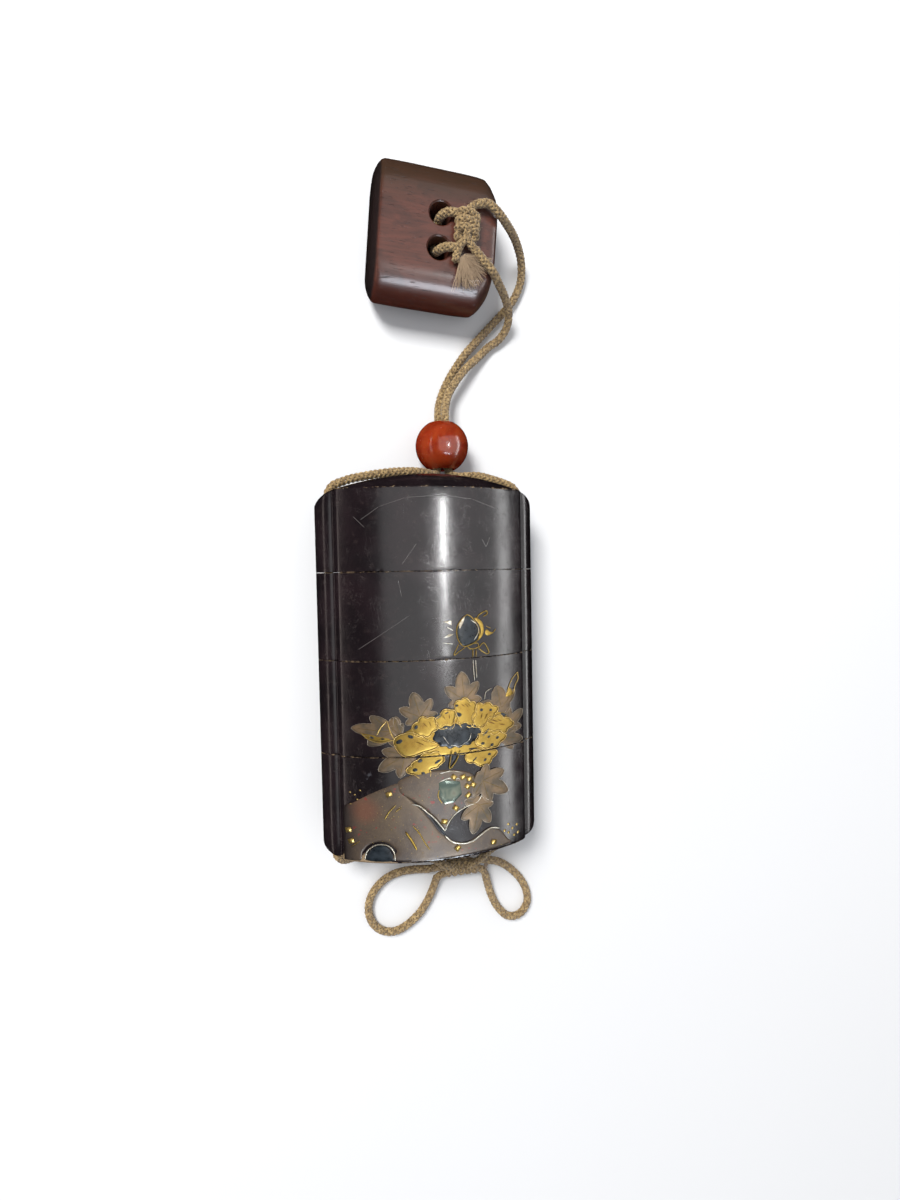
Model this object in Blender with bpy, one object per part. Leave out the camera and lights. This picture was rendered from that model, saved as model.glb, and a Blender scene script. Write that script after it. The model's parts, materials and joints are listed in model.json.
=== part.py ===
"""Inro case lying on its back, with its cord, sliding bead and netsuke toggle.

Metres, +Z up. The case's length runs along Y, its lid and the toggle towards +Y, and its painted
front faces +Z. The origin is on the floor, below the middle of the case, bead and toggle.
"""

import math

import bmesh
import bpy
from mathutils import Matrix, Vector

# Outer shape of the case
CASE_WIDTH = 0.0500
CASE_DEPTH = 0.0228
RIDGE_SPAN = 0.0421
RIDGE_DEPTH = 0.0108
RUNNER_DEPTH = 0.0074
REST_FLAT = 0.0003

# Heights of the four sections along the case
LID_HEIGHT = 0.0180
UPPER_HEIGHT = 0.0191
MIDDLE_HEIGHT = 0.0207
BASE_HEIGHT = 0.0230
LID_DOME = 0.0034
BASE_DOME = 0.0012
CORNER_DROP = 0.0024

# Walls, risers and sockets
WALL = 0.0021
END_WALL = 0.00235
RISER_WALL = 0.0010
RISER_HEIGHT = 0.0060
FLOOR = 0.0020
FIT_GAP = 0.00028
HOLLOW_END = 0.0025
HOLLOW_CORNER = 0.94

# Cord and the tunnels that it runs through
CORD_DIAMETER = 0.0021
TUNNEL_GAP = 0.0004
TUNNEL_EDGE = 0.00135
MOUTH_FLARE = 0.0005
MOUTH_LENGTH = 0.0022
ROUTE_STEP = 0.0022
STRAIGHT_RUN = 0.0120
STRAIGHT_TURN = math.radians(4)

# Bead
BEAD_DIAMETER = 0.0124
BEAD_BORE = 0.0050
BEAD_MOUTH = 0.0060
BEAD_FROM_LID = 0.0112
BEAD_X = 0.0052

# Netsuke
NETSUKE_LENGTH = 0.0284
NETSUKE_WIDTH = 0.0309
NETSUKE_THICKNESS = 0.0140
NETSUKE_EDGE = 0.0066
NETSUKE_SHIFT = (-0.0002, 0.00065, 0.0)
NETSUKE_FROM_LID = 0.0574
NETSUKE_X = 0.0034
NETSUKE_TURN = math.radians(-4.9)
HOLE_DIAMETER = 0.0050
HOLE_SPACING = 0.0076
HOLE_DEPTH = 0.0085
HOLE_X = 0.0006

# Knots
NETSUKE_KNOT_HEIGHT = 0.0036
BOTTOM_KNOT_LENGTH = 0.0090
BOTTOM_KNOT_THICKNESS = 0.0040
KNOT_X = 0.0087
KNOT_Y = -0.0102

PANEL_STEPS = 16
RUNNER_STEPS = 8
ROUND_STEPS = 18
BEYOND = 0.004

HALF_DEPTH = CASE_DEPTH / 2
HALF_RIDGE = RIDGE_SPAN / 2
PANEL_BULGE = (CASE_DEPTH - RIDGE_DEPTH) / 2
PANEL_RADIUS = (HALF_RIDGE**2 + PANEL_BULGE**2) / (2 * PANEL_BULGE)
MIDDLE_Z = HALF_DEPTH - REST_FLAT
TUNNEL_RADIUS = CORD_DIAMETER / 2 + TUNNEL_GAP
TUNNEL_X = CASE_WIDTH / 2 - TUNNEL_EDGE - TUNNEL_RADIUS
BASE_TOP = BASE_HEIGHT
MIDDLE_TOP = BASE_TOP + MIDDLE_HEIGHT
UPPER_TOP = MIDDLE_TOP + UPPER_HEIGHT
LID_TOP = UPPER_TOP + LID_HEIGHT
SOCKET_DEPTH = RISER_HEIGHT + FIT_GAP
BEAD_Y = LID_TOP + BEAD_FROM_LID
NETSUKE_Y = LID_TOP + NETSUKE_FROM_LID
HOLE_RADIUS = HOLE_DIAMETER / 2

LACQUER = ((0.012, 0.009, 0.011), 0.16)
INNER_WOOD = ((0.16, 0.055, 0.028), 0.42)
CARNELIAN = ((0.62, 0.06, 0.012), 0.12)
CORD_FIBRE = ((0.36, 0.24, 0.12), 0.85)


def clear_scene():
    for thing in list(bpy.data.objects):
        bpy.data.objects.remove(thing, do_unlink=True)


def material(name, look):
    """Principled material of one colour and roughness."""
    colour, roughness = look
    made = bpy.data.materials.new(name)
    made.use_nodes = True
    shader = made.node_tree.nodes["Principled BSDF"]
    shader.inputs["Base Color"].default_value = (*colour, 1.0)
    shader.inputs["Roughness"].default_value = roughness
    shader.inputs["Metallic"].default_value = 0.0
    return made


def add_object(name, data, parent, look=None):
    made = bpy.data.objects.new(name, data)
    bpy.context.scene.collection.objects.link(made)
    made.parent = parent
    if look:
        data.materials.append(look)
    return made


def panel_height(x, inset=0.0):
    """Distance of the front panel from the middle plane, with its arc moved in by inset."""
    centre = HALF_DEPTH - PANEL_RADIUS
    return centre + math.sqrt((PANEL_RADIUS - inset) ** 2 - x**2)


def outline(corner_x, corner_z, root_z, reach, inset=0.0):
    """Section across the case as (x, z) points: two arched panels and two rounded ends."""
    across = [-corner_x + 2 * corner_x * i / PANEL_STEPS for i in range(PANEL_STEPS + 1)]
    front = [(x, panel_height(x, inset)) for x in across]
    front[0] = (-corner_x, corner_z)
    front[-1] = (corner_x, corner_z)
    end = []
    for i in range(RUNNER_STEPS + 1):
        angle = math.pi / 2 - math.pi * i / RUNNER_STEPS
        out = corner_x + (reach - corner_x) * math.cos(angle)
        end.append((out, root_z * math.sin(angle)))
    back = [(-x, -z) for x, z in front]
    far_end = [(-x, -z) for x, z in end]
    return front + end + back + far_end


def outer_outline():
    """The visible section, flattened a little where the back rests."""
    points = outline(HALF_RIDGE, RIDGE_DEPTH / 2, RUNNER_DEPTH / 2, CASE_WIDTH / 2)
    return [(x, max(z, -MIDDLE_Z)) for x, z in points]


def hollow_outline(inset):
    """Section of a hollow or a riser whose wall lies inset from the panels."""
    reach = HALF_RIDGE - END_WALL + WALL - inset
    corner_x = reach - HOLLOW_END
    corner_z = panel_height(corner_x, inset)
    return outline(corner_x, corner_z, corner_z * HOLLOW_CORNER, reach, inset)


def ring(points, y, size=1.0):
    return [Vector((x * size, y, z * size + MIDDLE_Z)) for x, z in points]


def crown(x, z, dome):
    """Rise of the lid's or the base's end above its rim: domed between the ridges, falling off past them."""
    span = dome * (1 - (x / HALF_RIDGE) ** 2)
    if abs(x) < HALF_RIDGE:
        return span * (1 - min(abs(z) / panel_height(x), 1.0) ** 2)
    past = min((abs(x) - HALF_RIDGE) / (CASE_WIDTH / 2 - HALF_RIDGE), 1.0)
    return span - CORNER_DROP * (1 - math.sqrt(1 - past**2))


def crown_rings(rim, dome, towards):
    """Rings from the rim to the middle of a domed end, towards +1 or -1 along Y."""
    sizes = (1.0, 0.9, 0.72, 0.45, 0.16)
    points = outer_outline()
    rings = []
    for size in sizes:
        made = []
        for x, z in points:
            rise = crown(x * size, z * size, dome)
            made.append(Vector((x * size, rim + towards * rise, z * size + MIDDLE_Z)))
        rings.append(made)
    return rings


def loft(name, rings, parent, look, close=False):
    """Closed mesh through rings of equal count, capped at both ends or joined into a loop."""
    mesh = bpy.data.meshes.new(name)
    work = bmesh.new()
    rows = [[work.verts.new(point) for point in made] for made in rings]
    pairs = list(zip(rows, rows[1:]))
    if close:
        pairs.append((rows[-1], rows[0]))
    count = len(rows[0])
    for low, high in pairs:
        for i in range(count):
            j = (i + 1) % count
            work.faces.new((low[i], low[j], high[j], high[i]))
    if not close:
        work.faces.new(rows[0])
        work.faces.new(rows[-1])
    bmesh.ops.recalc_face_normals(work, faces=work.faces)
    work.to_mesh(mesh)
    work.free()
    mesh.shade_smooth()
    mesh.set_sharp_from_angle(angle=math.radians(35))
    return add_object(name, mesh, parent, look)


def subtract(piece, cutter):
    """Cuts one hidden helper from a piece."""
    cutter.hide_render = True
    cutter.display_type = "WIRE"
    cut = piece.modifiers.new("cut_" + cutter.name, "BOOLEAN")
    cut.operation = "DIFFERENCE"
    cut.solver = "EXACT"
    cut.object = cutter


def socket_rings(low):
    """Underside of a section: the rebate that drops over the riser below."""
    points = hollow_outline(WALL - RISER_WALL - FIT_GAP)
    return [ring(points, low + SOCKET_DEPTH), ring(points, low)]


def riser_rings(high, floor_top):
    """Top of a section: the seat, the riser standing on it and the hollow down to the floor."""
    riser = hollow_outline(WALL - RISER_WALL)
    hollow = hollow_outline(WALL)
    return [
        ring(riser, high),
        ring(riser, high + RISER_HEIGHT),
        ring(hollow, high + RISER_HEIGHT),
        ring(hollow, floor_top),
    ]


def middle_section(name, low, high, parent, look):
    """One case of the stack, open above and rebated below."""
    low = low + FIT_GAP / 2
    high = high - FIT_GAP / 2
    walls = [ring(outer_outline(), low), ring(outer_outline(), high)]
    floor_top = low + SOCKET_DEPTH + FLOOR
    return loft(name, socket_rings(low) + walls + riser_rings(high, floor_top), parent, look)


def base_section(parent, look):
    high = BASE_TOP - FIT_GAP / 2
    under = crown_rings(0.0, BASE_DOME, -1)[::-1]
    rings = under + [ring(outer_outline(), high)] + riser_rings(high, FLOOR)
    return loft("base_case", rings, parent, look)


def lid_section(parent, look):
    """Lid with a domed top and a hollow that steps in above the riser."""
    low = UPPER_TOP + FIT_GAP / 2
    hollow = hollow_outline(WALL)
    ceiling = [
        ring(hollow, LID_TOP + LID_DOME - FLOOR * 1.15, 0.25),
        ring(hollow, LID_TOP + LID_DOME * 0.6 - FLOOR, 0.7),
        ring(hollow, LID_TOP - FLOOR),
        ring(hollow, low + SOCKET_DEPTH),
    ]
    walls = [ring(outer_outline(), low)]
    rings = ceiling + socket_rings(low) + walls + crown_rings(LID_TOP, LID_DOME, 1)
    return loft("lid", rings, parent, look)


def circle(centre, radius, along, count=ROUND_STEPS):
    """Ring of points about an axis, Y or Z."""
    made = []
    for i in range(count):
        angle = 2 * math.pi * i / count
        a = radius * math.cos(angle)
        b = radius * math.sin(angle)
        made.append(centre + (Vector((a, 0, b)) if along == "Y" else Vector((a, b, 0))))
    return made


def tunnel_cutter(name, side, parent):
    """Long drill for one cord tunnel, flared where it leaves the lid and the base."""
    flared = TUNNEL_RADIUS + MOUTH_FLARE
    stations = (
        (-BASE_DOME - BEYOND, flared),
        (0.0, flared),
        (MOUTH_LENGTH, TUNNEL_RADIUS),
        (LID_TOP - MOUTH_LENGTH, TUNNEL_RADIUS),
        (LID_TOP, flared),
        (LID_TOP + LID_DOME + BEYOND, flared),
    )
    rings = [circle(Vector((side * TUNNEL_X, y, MIDDLE_Z)), r, "Y", 12) for y, r in stations]
    return loft(name, rings, parent, None)


def make_case(parent, look):
    """The four stacked sections, with a cord tunnel down each side of all of them."""
    sections = [
        base_section(parent, look),
        middle_section("middle_case", BASE_TOP, MIDDLE_TOP, parent, look),
        middle_section("upper_case", MIDDLE_TOP, UPPER_TOP, parent, look),
        lid_section(parent, look),
    ]
    for name, side in (("tunnel_left", -1), ("tunnel_right", 1)):
        cutter = tunnel_cutter(name, side, parent)
        for section in sections:
            subtract(section, cutter)
    return sections


def make_bead(parent, look):
    """Round bead with a straight bore for both strands."""
    radius = BEAD_DIAMETER / 2
    bore = BEAD_BORE / 2
    mouth = BEAD_MOUTH / 2
    start = math.asin(mouth / radius)
    centre = Vector((BEAD_X, BEAD_Y, radius))
    rings = []
    steps = 12
    for i in range(steps + 1):
        angle = start + (math.pi - 2 * start) * i / steps
        at = centre + Vector((0, radius * math.cos(angle), 0))
        rings.append(circle(at, radius * math.sin(angle), "Y", 24))
    throat = radius * math.cos(start) - 1.5 * (mouth - bore)
    for side in (-1, 1):
        rings.append(circle(centre + Vector((0, side * throat, 0)), bore, "Y", 24))
    return loft("ojime_bead", rings, parent, look, close=True)


def rounded_oblong(x, half_width, half_height, edge, steps=5):
    """Section across the netsuke as a ring in its YZ plane, flat below and above."""
    corners = ((1, 1, 0), (-1, 1, 90), (-1, -1, 180), (1, -1, 270))
    made = []
    for side_y, side_z, turn in corners:
        for i in range(steps + 1):
            angle = math.radians(turn + 90 * i / steps)
            y = side_y * (half_width - edge) + edge * math.cos(angle)
            z = side_z * (half_height - edge) + edge * math.sin(angle)
            made.append(Vector((x, y, z)))
    return made


def make_netsuke(parent, look):
    """Pillow-like wooden block, its ends cut across, with two joined cord holes in its face."""
    half = NETSUKE_LENGTH / 2
    wide = NETSUKE_WIDTH / 2
    thick = NETSUKE_THICKNESS / 2
    edge = NETSUKE_EDGE
    stations = (
        (-half, wide - 0.0034, thick - 0.0030),
        (-half + 0.0003, wide - 0.0024, thick - 0.0019),
        (-half + 0.0009, wide - 0.0012, thick - 0.0008),
        (-half + 0.0015, wide - 0.0005, thick - 0.0001),
        (-half + 0.0026, wide - 0.0001, thick),
        (0.0, wide, thick),
        (half - 0.0040, wide - 0.0002, thick),
        (half - 0.0018, wide - 0.0018, thick - 0.0002),
        (half - 0.0004, wide - 0.0042, thick - 0.0008),
        (half, wide - 0.0060, thick - 0.0016),
    )
    shift = Vector(NETSUKE_SHIFT)
    rings = []
    for x, w, t in stations:
        rings.append([point + shift for point in rounded_oblong(x, w, t, min(edge, 0.98 * t))])
    block = loft("netsuke", rings, parent, look)
    block.location = (NETSUKE_X, NETSUKE_Y, thick)
    block.rotation_euler = (0, 0, NETSUKE_TURN)
    floor_z = thick - HOLE_DEPTH
    for name, side in (("hole_near", -1), ("hole_far", 1)):
        y = side * HOLE_SPACING / 2
        low = circle(Vector((HOLE_X, y, floor_z)), HOLE_RADIUS, "Z", 16)
        high = circle(Vector((HOLE_X, y, thick + BEYOND)), HOLE_RADIUS, "Z", 16)
        drill = loft(name, [low, high], block, None)
        subtract(block, drill)
    link_z = floor_z + HOLE_RADIUS
    link = [
        circle(Vector((HOLE_X, side * HOLE_SPACING / 2, link_z)), 0.94 * HOLE_RADIUS, "Y", 16)
        for side in (-1, 1)
    ]
    subtract(block, loft("hole_link", link, block, None))
    return block


def without_straight_points(points):
    """The route with points left out where it runs straight."""
    kept = [points[0]]
    for here, after in zip(points[1:], points[2:]):
        before = here - kept[-1]
        if before.angle(after - here) > STRAIGHT_TURN or before.length > STRAIGHT_RUN:
            kept.append(here)
    kept.append(points[-1])
    return kept


def smooth_route(points, step):
    """Points a step apart on a Catmull-Rom curve through the chosen points."""
    knots = [Vector(point) for point in points]
    knots = [2 * knots[0] - knots[1]] + knots + [2 * knots[-1] - knots[-2]]
    fine = []
    for a, b, c, d in zip(knots, knots[1:], knots[2:], knots[3:]):
        for i in range(24):
            t = i / 24
            bend = (2 * a - 5 * b + 4 * c - d) * t**2 + (3 * b - a - 3 * c + d) * t**3
            fine.append((2 * b + (c - a) * t + bend) / 2)
    fine.append(knots[-2])
    lengths = [0.0]
    for a, b in zip(fine, fine[1:]):
        lengths.append(lengths[-1] + (b - a).length)
    count = max(2, round(lengths[-1] / step))
    made = []
    k = 0
    for i in range(count + 1):
        wanted = lengths[-1] * i / count
        while k < len(lengths) - 2 and lengths[k + 1] < wanted:
            k += 1
        share = (wanted - lengths[k]) / (lengths[k + 1] - lengths[k])
        made.append(fine[k].lerp(fine[k + 1], share))
    return made


def make_cord(name, points, parent, look, step=ROUTE_STEP):
    """Round cord along a smooth route."""
    curve = bpy.data.curves.new(name, "CURVE")
    curve.dimensions = "3D"
    curve.bevel_depth = CORD_DIAMETER / 2
    curve.bevel_resolution = 2
    curve.use_fill_caps = True
    route = without_straight_points(smooth_route(points, step))
    spline = curve.splines.new("POLY")
    spline.points.add(len(route) - 1)
    for spot, point in zip(spline.points, route):
        spot.co = (*point, 1.0)
    return add_object(name, curve, parent, look)


def strand_route(side, free_part, under):
    """A strand's free part, then over the lid's end, down its tunnel and under the base."""
    x = side * TUNNEL_X
    over = LID_TOP + LID_DOME + CORD_DIAMETER / 2
    lid_part = [
        (side * 0.0158, over - 0.0014, MIDDLE_Z + 0.0002),
        (side * 0.0186, over - 0.0022, MIDDLE_Z),
        (side * 0.0207, over - 0.0031, MIDDLE_Z),
        (side * 0.0218, over - 0.0046, MIDDLE_Z),
        (x, over - 0.0066, MIDDLE_Z),
        (x, over - 0.0090, MIDDLE_Z),
    ]
    down = [(x, LID_TOP * share, MIDDLE_Z) for share in (0.75, 0.5, 0.25)]
    out = [(x, 0.0035, MIDDLE_Z), (x, -0.0004, MIDDLE_Z)]
    return free_part + lid_part + down + out + under


# The two strands from the toggle's knot through the bead, left one first
FREE_LEFT = [
    (0.0125, 0.1438, 0.0157),
    (0.0147, 0.1440, 0.0158),
    (0.0165, 0.1430, 0.0155),
    (0.0179, 0.1422, 0.0148),
    (0.0195, 0.1418, 0.0131),
    (0.0215, 0.1415, 0.0106),
    (0.0234, 0.1410, 0.0081),
    (0.0251, 0.1400, 0.0057),
    (0.0264, 0.1384, 0.0038),
    (0.0271, 0.1365, 0.0024),
    (0.0272, 0.1342, 0.0015),
    (0.0264, 0.1316, 0.0012),
    (0.0249, 0.1289, 0.0012),
    (0.0227, 0.1263, 0.0012),
    (0.0199, 0.1233, 0.0012),
    (0.0163, 0.1195, 0.0012),
    (0.0130, 0.1159, 0.0012),
    (0.0105, 0.1125, 0.0012),
    (0.0083, 0.1090, 0.0012),
    (0.0065, 0.1052, 0.0014),
    (0.0053, 0.1017, 0.0029),
    (0.0047, 0.0982, 0.0049),
    (0.0042, 0.0934, 0.0056),
    (0.0040, 0.0886, 0.0062),
    (0.0039, 0.0868, 0.0063),
    (0.0034, 0.0856, 0.0068),
    (0.0022, 0.0852, 0.0080),
    (0.0001, 0.0854, 0.0096),
    (-0.0040, 0.0854, 0.0109),
    (-0.0095, 0.0849, 0.0113),
]
FREE_RIGHT = [
    (0.0115, 0.1338, 0.0156),
    (0.0125, 0.1327, 0.0155),
    (0.0138, 0.1314, 0.0154),
    (0.0151, 0.1302, 0.0152),
    (0.0165, 0.1292, 0.0141),
    (0.0180, 0.1284, 0.0120),
    (0.0196, 0.1277, 0.0098),
    (0.0210, 0.1268, 0.0078),
    (0.0222, 0.1256, 0.0060),
    (0.0229, 0.1243, 0.0044),
    (0.0231, 0.1228, 0.0030),
    (0.0225, 0.1210, 0.0019),
    (0.0209, 0.1191, 0.0013),
    (0.0186, 0.1175, 0.0012),
    (0.0156, 0.1146, 0.0018),
    (0.0125, 0.1117, 0.0029),
    (0.0101, 0.1088, 0.0034),
    (0.0078, 0.1052, 0.0036),
    (0.0065, 0.1017, 0.0053),
    (0.0059, 0.0982, 0.0071),
    (0.0061, 0.0934, 0.0070),
    (0.0064, 0.0886, 0.0062),
    (0.0065, 0.0868, 0.0063),
    (0.0070, 0.0856, 0.0067),
    (0.0083, 0.0848, 0.0080),
    (0.0103, 0.08465, 0.0098),
    (0.0128, 0.0845, 0.0110),
]

# Each strand below the base, from its tunnel to the bow's knot
UNDER_LEFT = [
    (-0.0213, -0.0022, 0.0101),
    (-0.0200, -0.0033, 0.0085),
    (-0.0179, -0.0038, 0.0067),
    (-0.0150, -0.0041, 0.0054),
    (-0.0110, -0.0044, 0.0046),
    (-0.0060, -0.0049, 0.0044),
    (-0.0016, -0.0059, 0.0049),
    (0.0014, -0.0071, 0.0056),
    (0.0034, -0.0083, 0.0062),
]
UNDER_RIGHT = [
    (0.0213, -0.0022, 0.0101),
    (0.0199, -0.0034, 0.0086),
    (0.0178, -0.0043, 0.0073),
    (0.0154, -0.0058, 0.0067),
    (0.0131, -0.0078, 0.0065),
]

# The bow's two loops below the base
LOOP_LEFT = [
    (0.0004, -0.0102, 0.0037),
    (-0.0029, -0.0104, 0.0026),
    (-0.0063, -0.0110, 0.0016),
    (-0.0095, -0.0122, 0.0012),
    (-0.0122, -0.0143, 0.0012),
    (-0.0139, -0.0171, 0.0012),
    (-0.0143, -0.0202, 0.0012),
    (-0.0133, -0.0232, 0.0012),
    (-0.0110, -0.0253, 0.0012),
    (-0.0079, -0.0259, 0.0012),
    (-0.0048, -0.0247, 0.0012),
    (-0.0018, -0.0223, 0.0012),
    (0.0004, -0.0192, 0.0013),
    (0.0018, -0.0159, 0.0018),
    (0.0026, -0.0129, 0.0028),
]
LOOP_RIGHT = [
    (0.0155, -0.0098, 0.0035),
    (0.0189, -0.0113, 0.0023),
    (0.0222, -0.0139, 0.0014),
    (0.0249, -0.0170, 0.0012),
    (0.0264, -0.0203, 0.0012),
    (0.0265, -0.0235, 0.0012),
    (0.0244, -0.0261, 0.0012),
    (0.0212, -0.0261, 0.0012),
    (0.0185, -0.0233, 0.0012),
    (0.0168, -0.0198, 0.0015),
    (0.0157, -0.0163, 0.0022),
    (0.0149, -0.0134, 0.0031),
]


def toggle_point(x, y, z):
    """A place given from the middle of the netsuke's face, in the case's frame."""
    turned = Matrix.Rotation(NETSUKE_TURN, 3, "Z") @ Vector((x, y, 0))
    return Vector((NETSUKE_X, NETSUKE_Y, NETSUKE_THICKNESS)) + turned + Vector((0, 0, z))


def netsuke_loop_points():
    """The bight that goes down one hole of the netsuke and up the other."""
    above = 0.0003 + CORD_DIAMETER / 2
    low = HOLE_RADIUS - HOLE_DEPTH
    y = HOLE_SPACING / 2
    return [
        toggle_point(HOLE_X + 0.0029, -y, above),
        toggle_point(HOLE_X + 0.0016, -y, 0.75 * above),
        toggle_point(HOLE_X + 0.0006, -y, -0.15 * above),
        toggle_point(HOLE_X, -y + 0.0002, 0.4 * low),
        toggle_point(HOLE_X, -y * 0.6, 0.86 * low),
        toggle_point(HOLE_X, 0, low),
        toggle_point(HOLE_X, y * 0.6, 0.86 * low),
        toggle_point(HOLE_X, y - 0.0002, 0.4 * low),
        toggle_point(HOLE_X + 0.0006, y, -0.15 * above),
        toggle_point(HOLE_X + 0.0016, y, 0.75 * above),
        toggle_point(HOLE_X + 0.0029, y, above),
    ]


def lump(name, stations, along, parent, look):
    """Closed lump through (place, half width, half height) stations along X or Y, softly ribbed."""
    rings = []
    for centre, width, height in stations:
        made = []
        for i in range(12):
            angle = 2 * math.pi * i / 12
            a = width * math.cos(angle)
            b = height * math.sin(angle)
            offset = Vector((a, 0, b)) if along == "Y" else Vector((0, a, b))
            made.append(Vector(centre) + offset)
        rings.append(made)
    return loft(name, rings, parent, look)


def make_netsuke_knot(parent, look):
    """The knot on the netsuke's face, with the cord's frayed end below it."""
    half = NETSUKE_KNOT_HEIGHT / 2
    shape = (
        (0.0054, 0.0063, 0.0012, 0.50),
        (0.0046, 0.0064, 0.0024, 0.85),
        (0.0028, 0.0068, 0.0029, 1.00),
        (0.0005, 0.0061, 0.0023, 1.00),
        (-0.0015, 0.0060, 0.0021, 1.00),
        (-0.0032, 0.0055, 0.00165, 0.95),
        (-0.0046, 0.0054, 0.0015, 0.80),
        (-0.0060, 0.0053, 0.0015, 0.65),
        (-0.0076, 0.0062, 0.0023, 0.50),
        (-0.0090, 0.0079, 0.0026, 0.35),
        (-0.0098, 0.0084, 0.0015, 0.20),
    )
    stations = []
    for y, x, width, share in shape:
        centre = toggle_point(x, y, FIT_GAP + half * share)
        stations.append((centre, width, half * share))
    return lump("netsuke_knot", stations, "Y", parent, look)


def make_bottom_knot(parent, look):
    """Wrapped knot of the bow below the base."""
    half_long = BOTTOM_KNOT_LENGTH / 2
    half = BOTTOM_KNOT_THICKNESS / 2
    shape = ((-1.0, 0.45), (-0.86, 0.85), (-0.5, 1.0), (0.0, 0.94), (0.5, 1.0), (0.86, 0.85), (1.0, 0.45))
    stations = []
    for along, share in shape:
        centre = (KNOT_X + along * half_long, KNOT_Y, half + 0.0020)
        stations.append((centre, half * share, half * share))
    return lump("bottom_knot", stations, "X", parent, look)


def make_cords(parent, look):
    made = [
        make_cord("cord_left", strand_route(-1, FREE_LEFT, UNDER_LEFT), parent, look),
        make_cord("cord_right", strand_route(1, FREE_RIGHT, UNDER_RIGHT), parent, look),
        make_cord("loop_left", LOOP_LEFT, parent, look),
        make_cord("loop_right", LOOP_RIGHT, parent, look),
        make_cord("netsuke_loop", netsuke_loop_points(), parent, look, ROUTE_STEP / 1.5),
        make_netsuke_knot(parent, look),
        make_bottom_knot(parent, look),
    ]
    return made


def centre_on_floor(frame, solids):
    """Moves everything so that the origin is below the middle of the case, bead and toggle."""
    bpy.context.view_layer.update()
    reach = []
    for piece in solids:
        reach += [(piece.matrix_world @ vertex.co).y for vertex in piece.data.vertices]
    frame.location.y = -(min(reach) + max(reach)) / 2


def main():
    clear_scene()
    frame = bpy.data.objects.new("inro_frame", None)
    bpy.context.scene.collection.objects.link(frame)
    solids = make_case(frame, material("black_lacquer", LACQUER))
    solids.append(make_bead(frame, material("carnelian", CARNELIAN)))
    solids.append(make_netsuke(frame, material("rosewood", INNER_WOOD)))
    make_cords(frame, material("cord_fibre", CORD_FIBRE))
    centre_on_floor(frame, solids)


main()
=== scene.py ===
"""Looks of an inro case lying on its back, with its painted front, its bead, its toggle and its cord.

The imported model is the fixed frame. Each operator of this add-on dresses one piece, or a group of
like pieces, and main() calls them in order. Metres, +Z up; the lid and the toggle point to +Y.
"""

import json
import math
import random

import bmesh
import bpy
from mathutils import Matrix, Vector, noise
from mathutils.geometry import delaunay_2d_cdt

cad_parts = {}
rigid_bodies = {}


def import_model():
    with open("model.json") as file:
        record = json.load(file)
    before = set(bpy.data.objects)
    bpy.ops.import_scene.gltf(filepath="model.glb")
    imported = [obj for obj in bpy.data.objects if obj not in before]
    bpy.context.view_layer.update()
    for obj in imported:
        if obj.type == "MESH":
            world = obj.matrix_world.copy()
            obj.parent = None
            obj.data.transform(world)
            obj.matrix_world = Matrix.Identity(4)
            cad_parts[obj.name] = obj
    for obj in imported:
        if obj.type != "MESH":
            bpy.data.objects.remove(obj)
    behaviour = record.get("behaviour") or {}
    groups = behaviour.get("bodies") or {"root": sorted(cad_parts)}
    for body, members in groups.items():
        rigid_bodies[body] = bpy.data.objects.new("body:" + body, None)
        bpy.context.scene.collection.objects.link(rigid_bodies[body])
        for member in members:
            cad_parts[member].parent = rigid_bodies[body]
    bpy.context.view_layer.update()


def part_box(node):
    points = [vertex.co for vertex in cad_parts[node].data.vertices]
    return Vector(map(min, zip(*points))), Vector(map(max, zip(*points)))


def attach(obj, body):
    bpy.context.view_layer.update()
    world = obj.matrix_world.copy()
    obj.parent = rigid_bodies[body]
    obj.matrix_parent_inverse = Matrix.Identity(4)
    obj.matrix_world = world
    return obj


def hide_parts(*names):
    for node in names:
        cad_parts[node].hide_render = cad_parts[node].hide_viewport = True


bl_info = {
    "name": "Inro Case",
    "version": (1, 0, 0),
    "blender": (4, 5, 0),
    "location": "View3D > Sidebar > Inro",
    "description": "Dresses a packed inro case with lacquer, painting, bead, toggle and cord",
    "category": "Object",
}

for leftover in list(bpy.data.objects):
    bpy.data.objects.remove(leftover)

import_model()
BODY = "root"
MM = 0.001
CUT_SHARP = 32
CURVE_STEPS = 24

# Sizes of the case that its nodes' boxes don't give
FIT_GAP = 0.00028
SEEN_GAP = 0.0001
FLAT_FROM = 0.0009
REST_FLAT = 0.0003
BASE_HEIGHT = 0.0230
LID_DOME = 0.0034
BASE_DOME = 0.0012
FRONT_FULLNESS = 6
CORNER_DROP = 0.0024
RIDGE_SPAN = 0.0421
RIDGE_DEPTH = 0.0108
RUNNER_DEPTH = 0.0074
WALL = 0.0021
END_WALL = 0.00235
RISER_WALL = 0.0010
RISER_HEIGHT = 0.0060
FLOOR = 0.0020
HOLLOW_END = 0.0025
HOLLOW_CORNER = 0.94
CORD_DIAMETER = 0.0021
TUNNEL_GAP = 0.0004
TUNNEL_EDGE = 0.00135
MOUTH_FLARE = 0.0005
MOUTH_LENGTH = 0.0022

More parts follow.
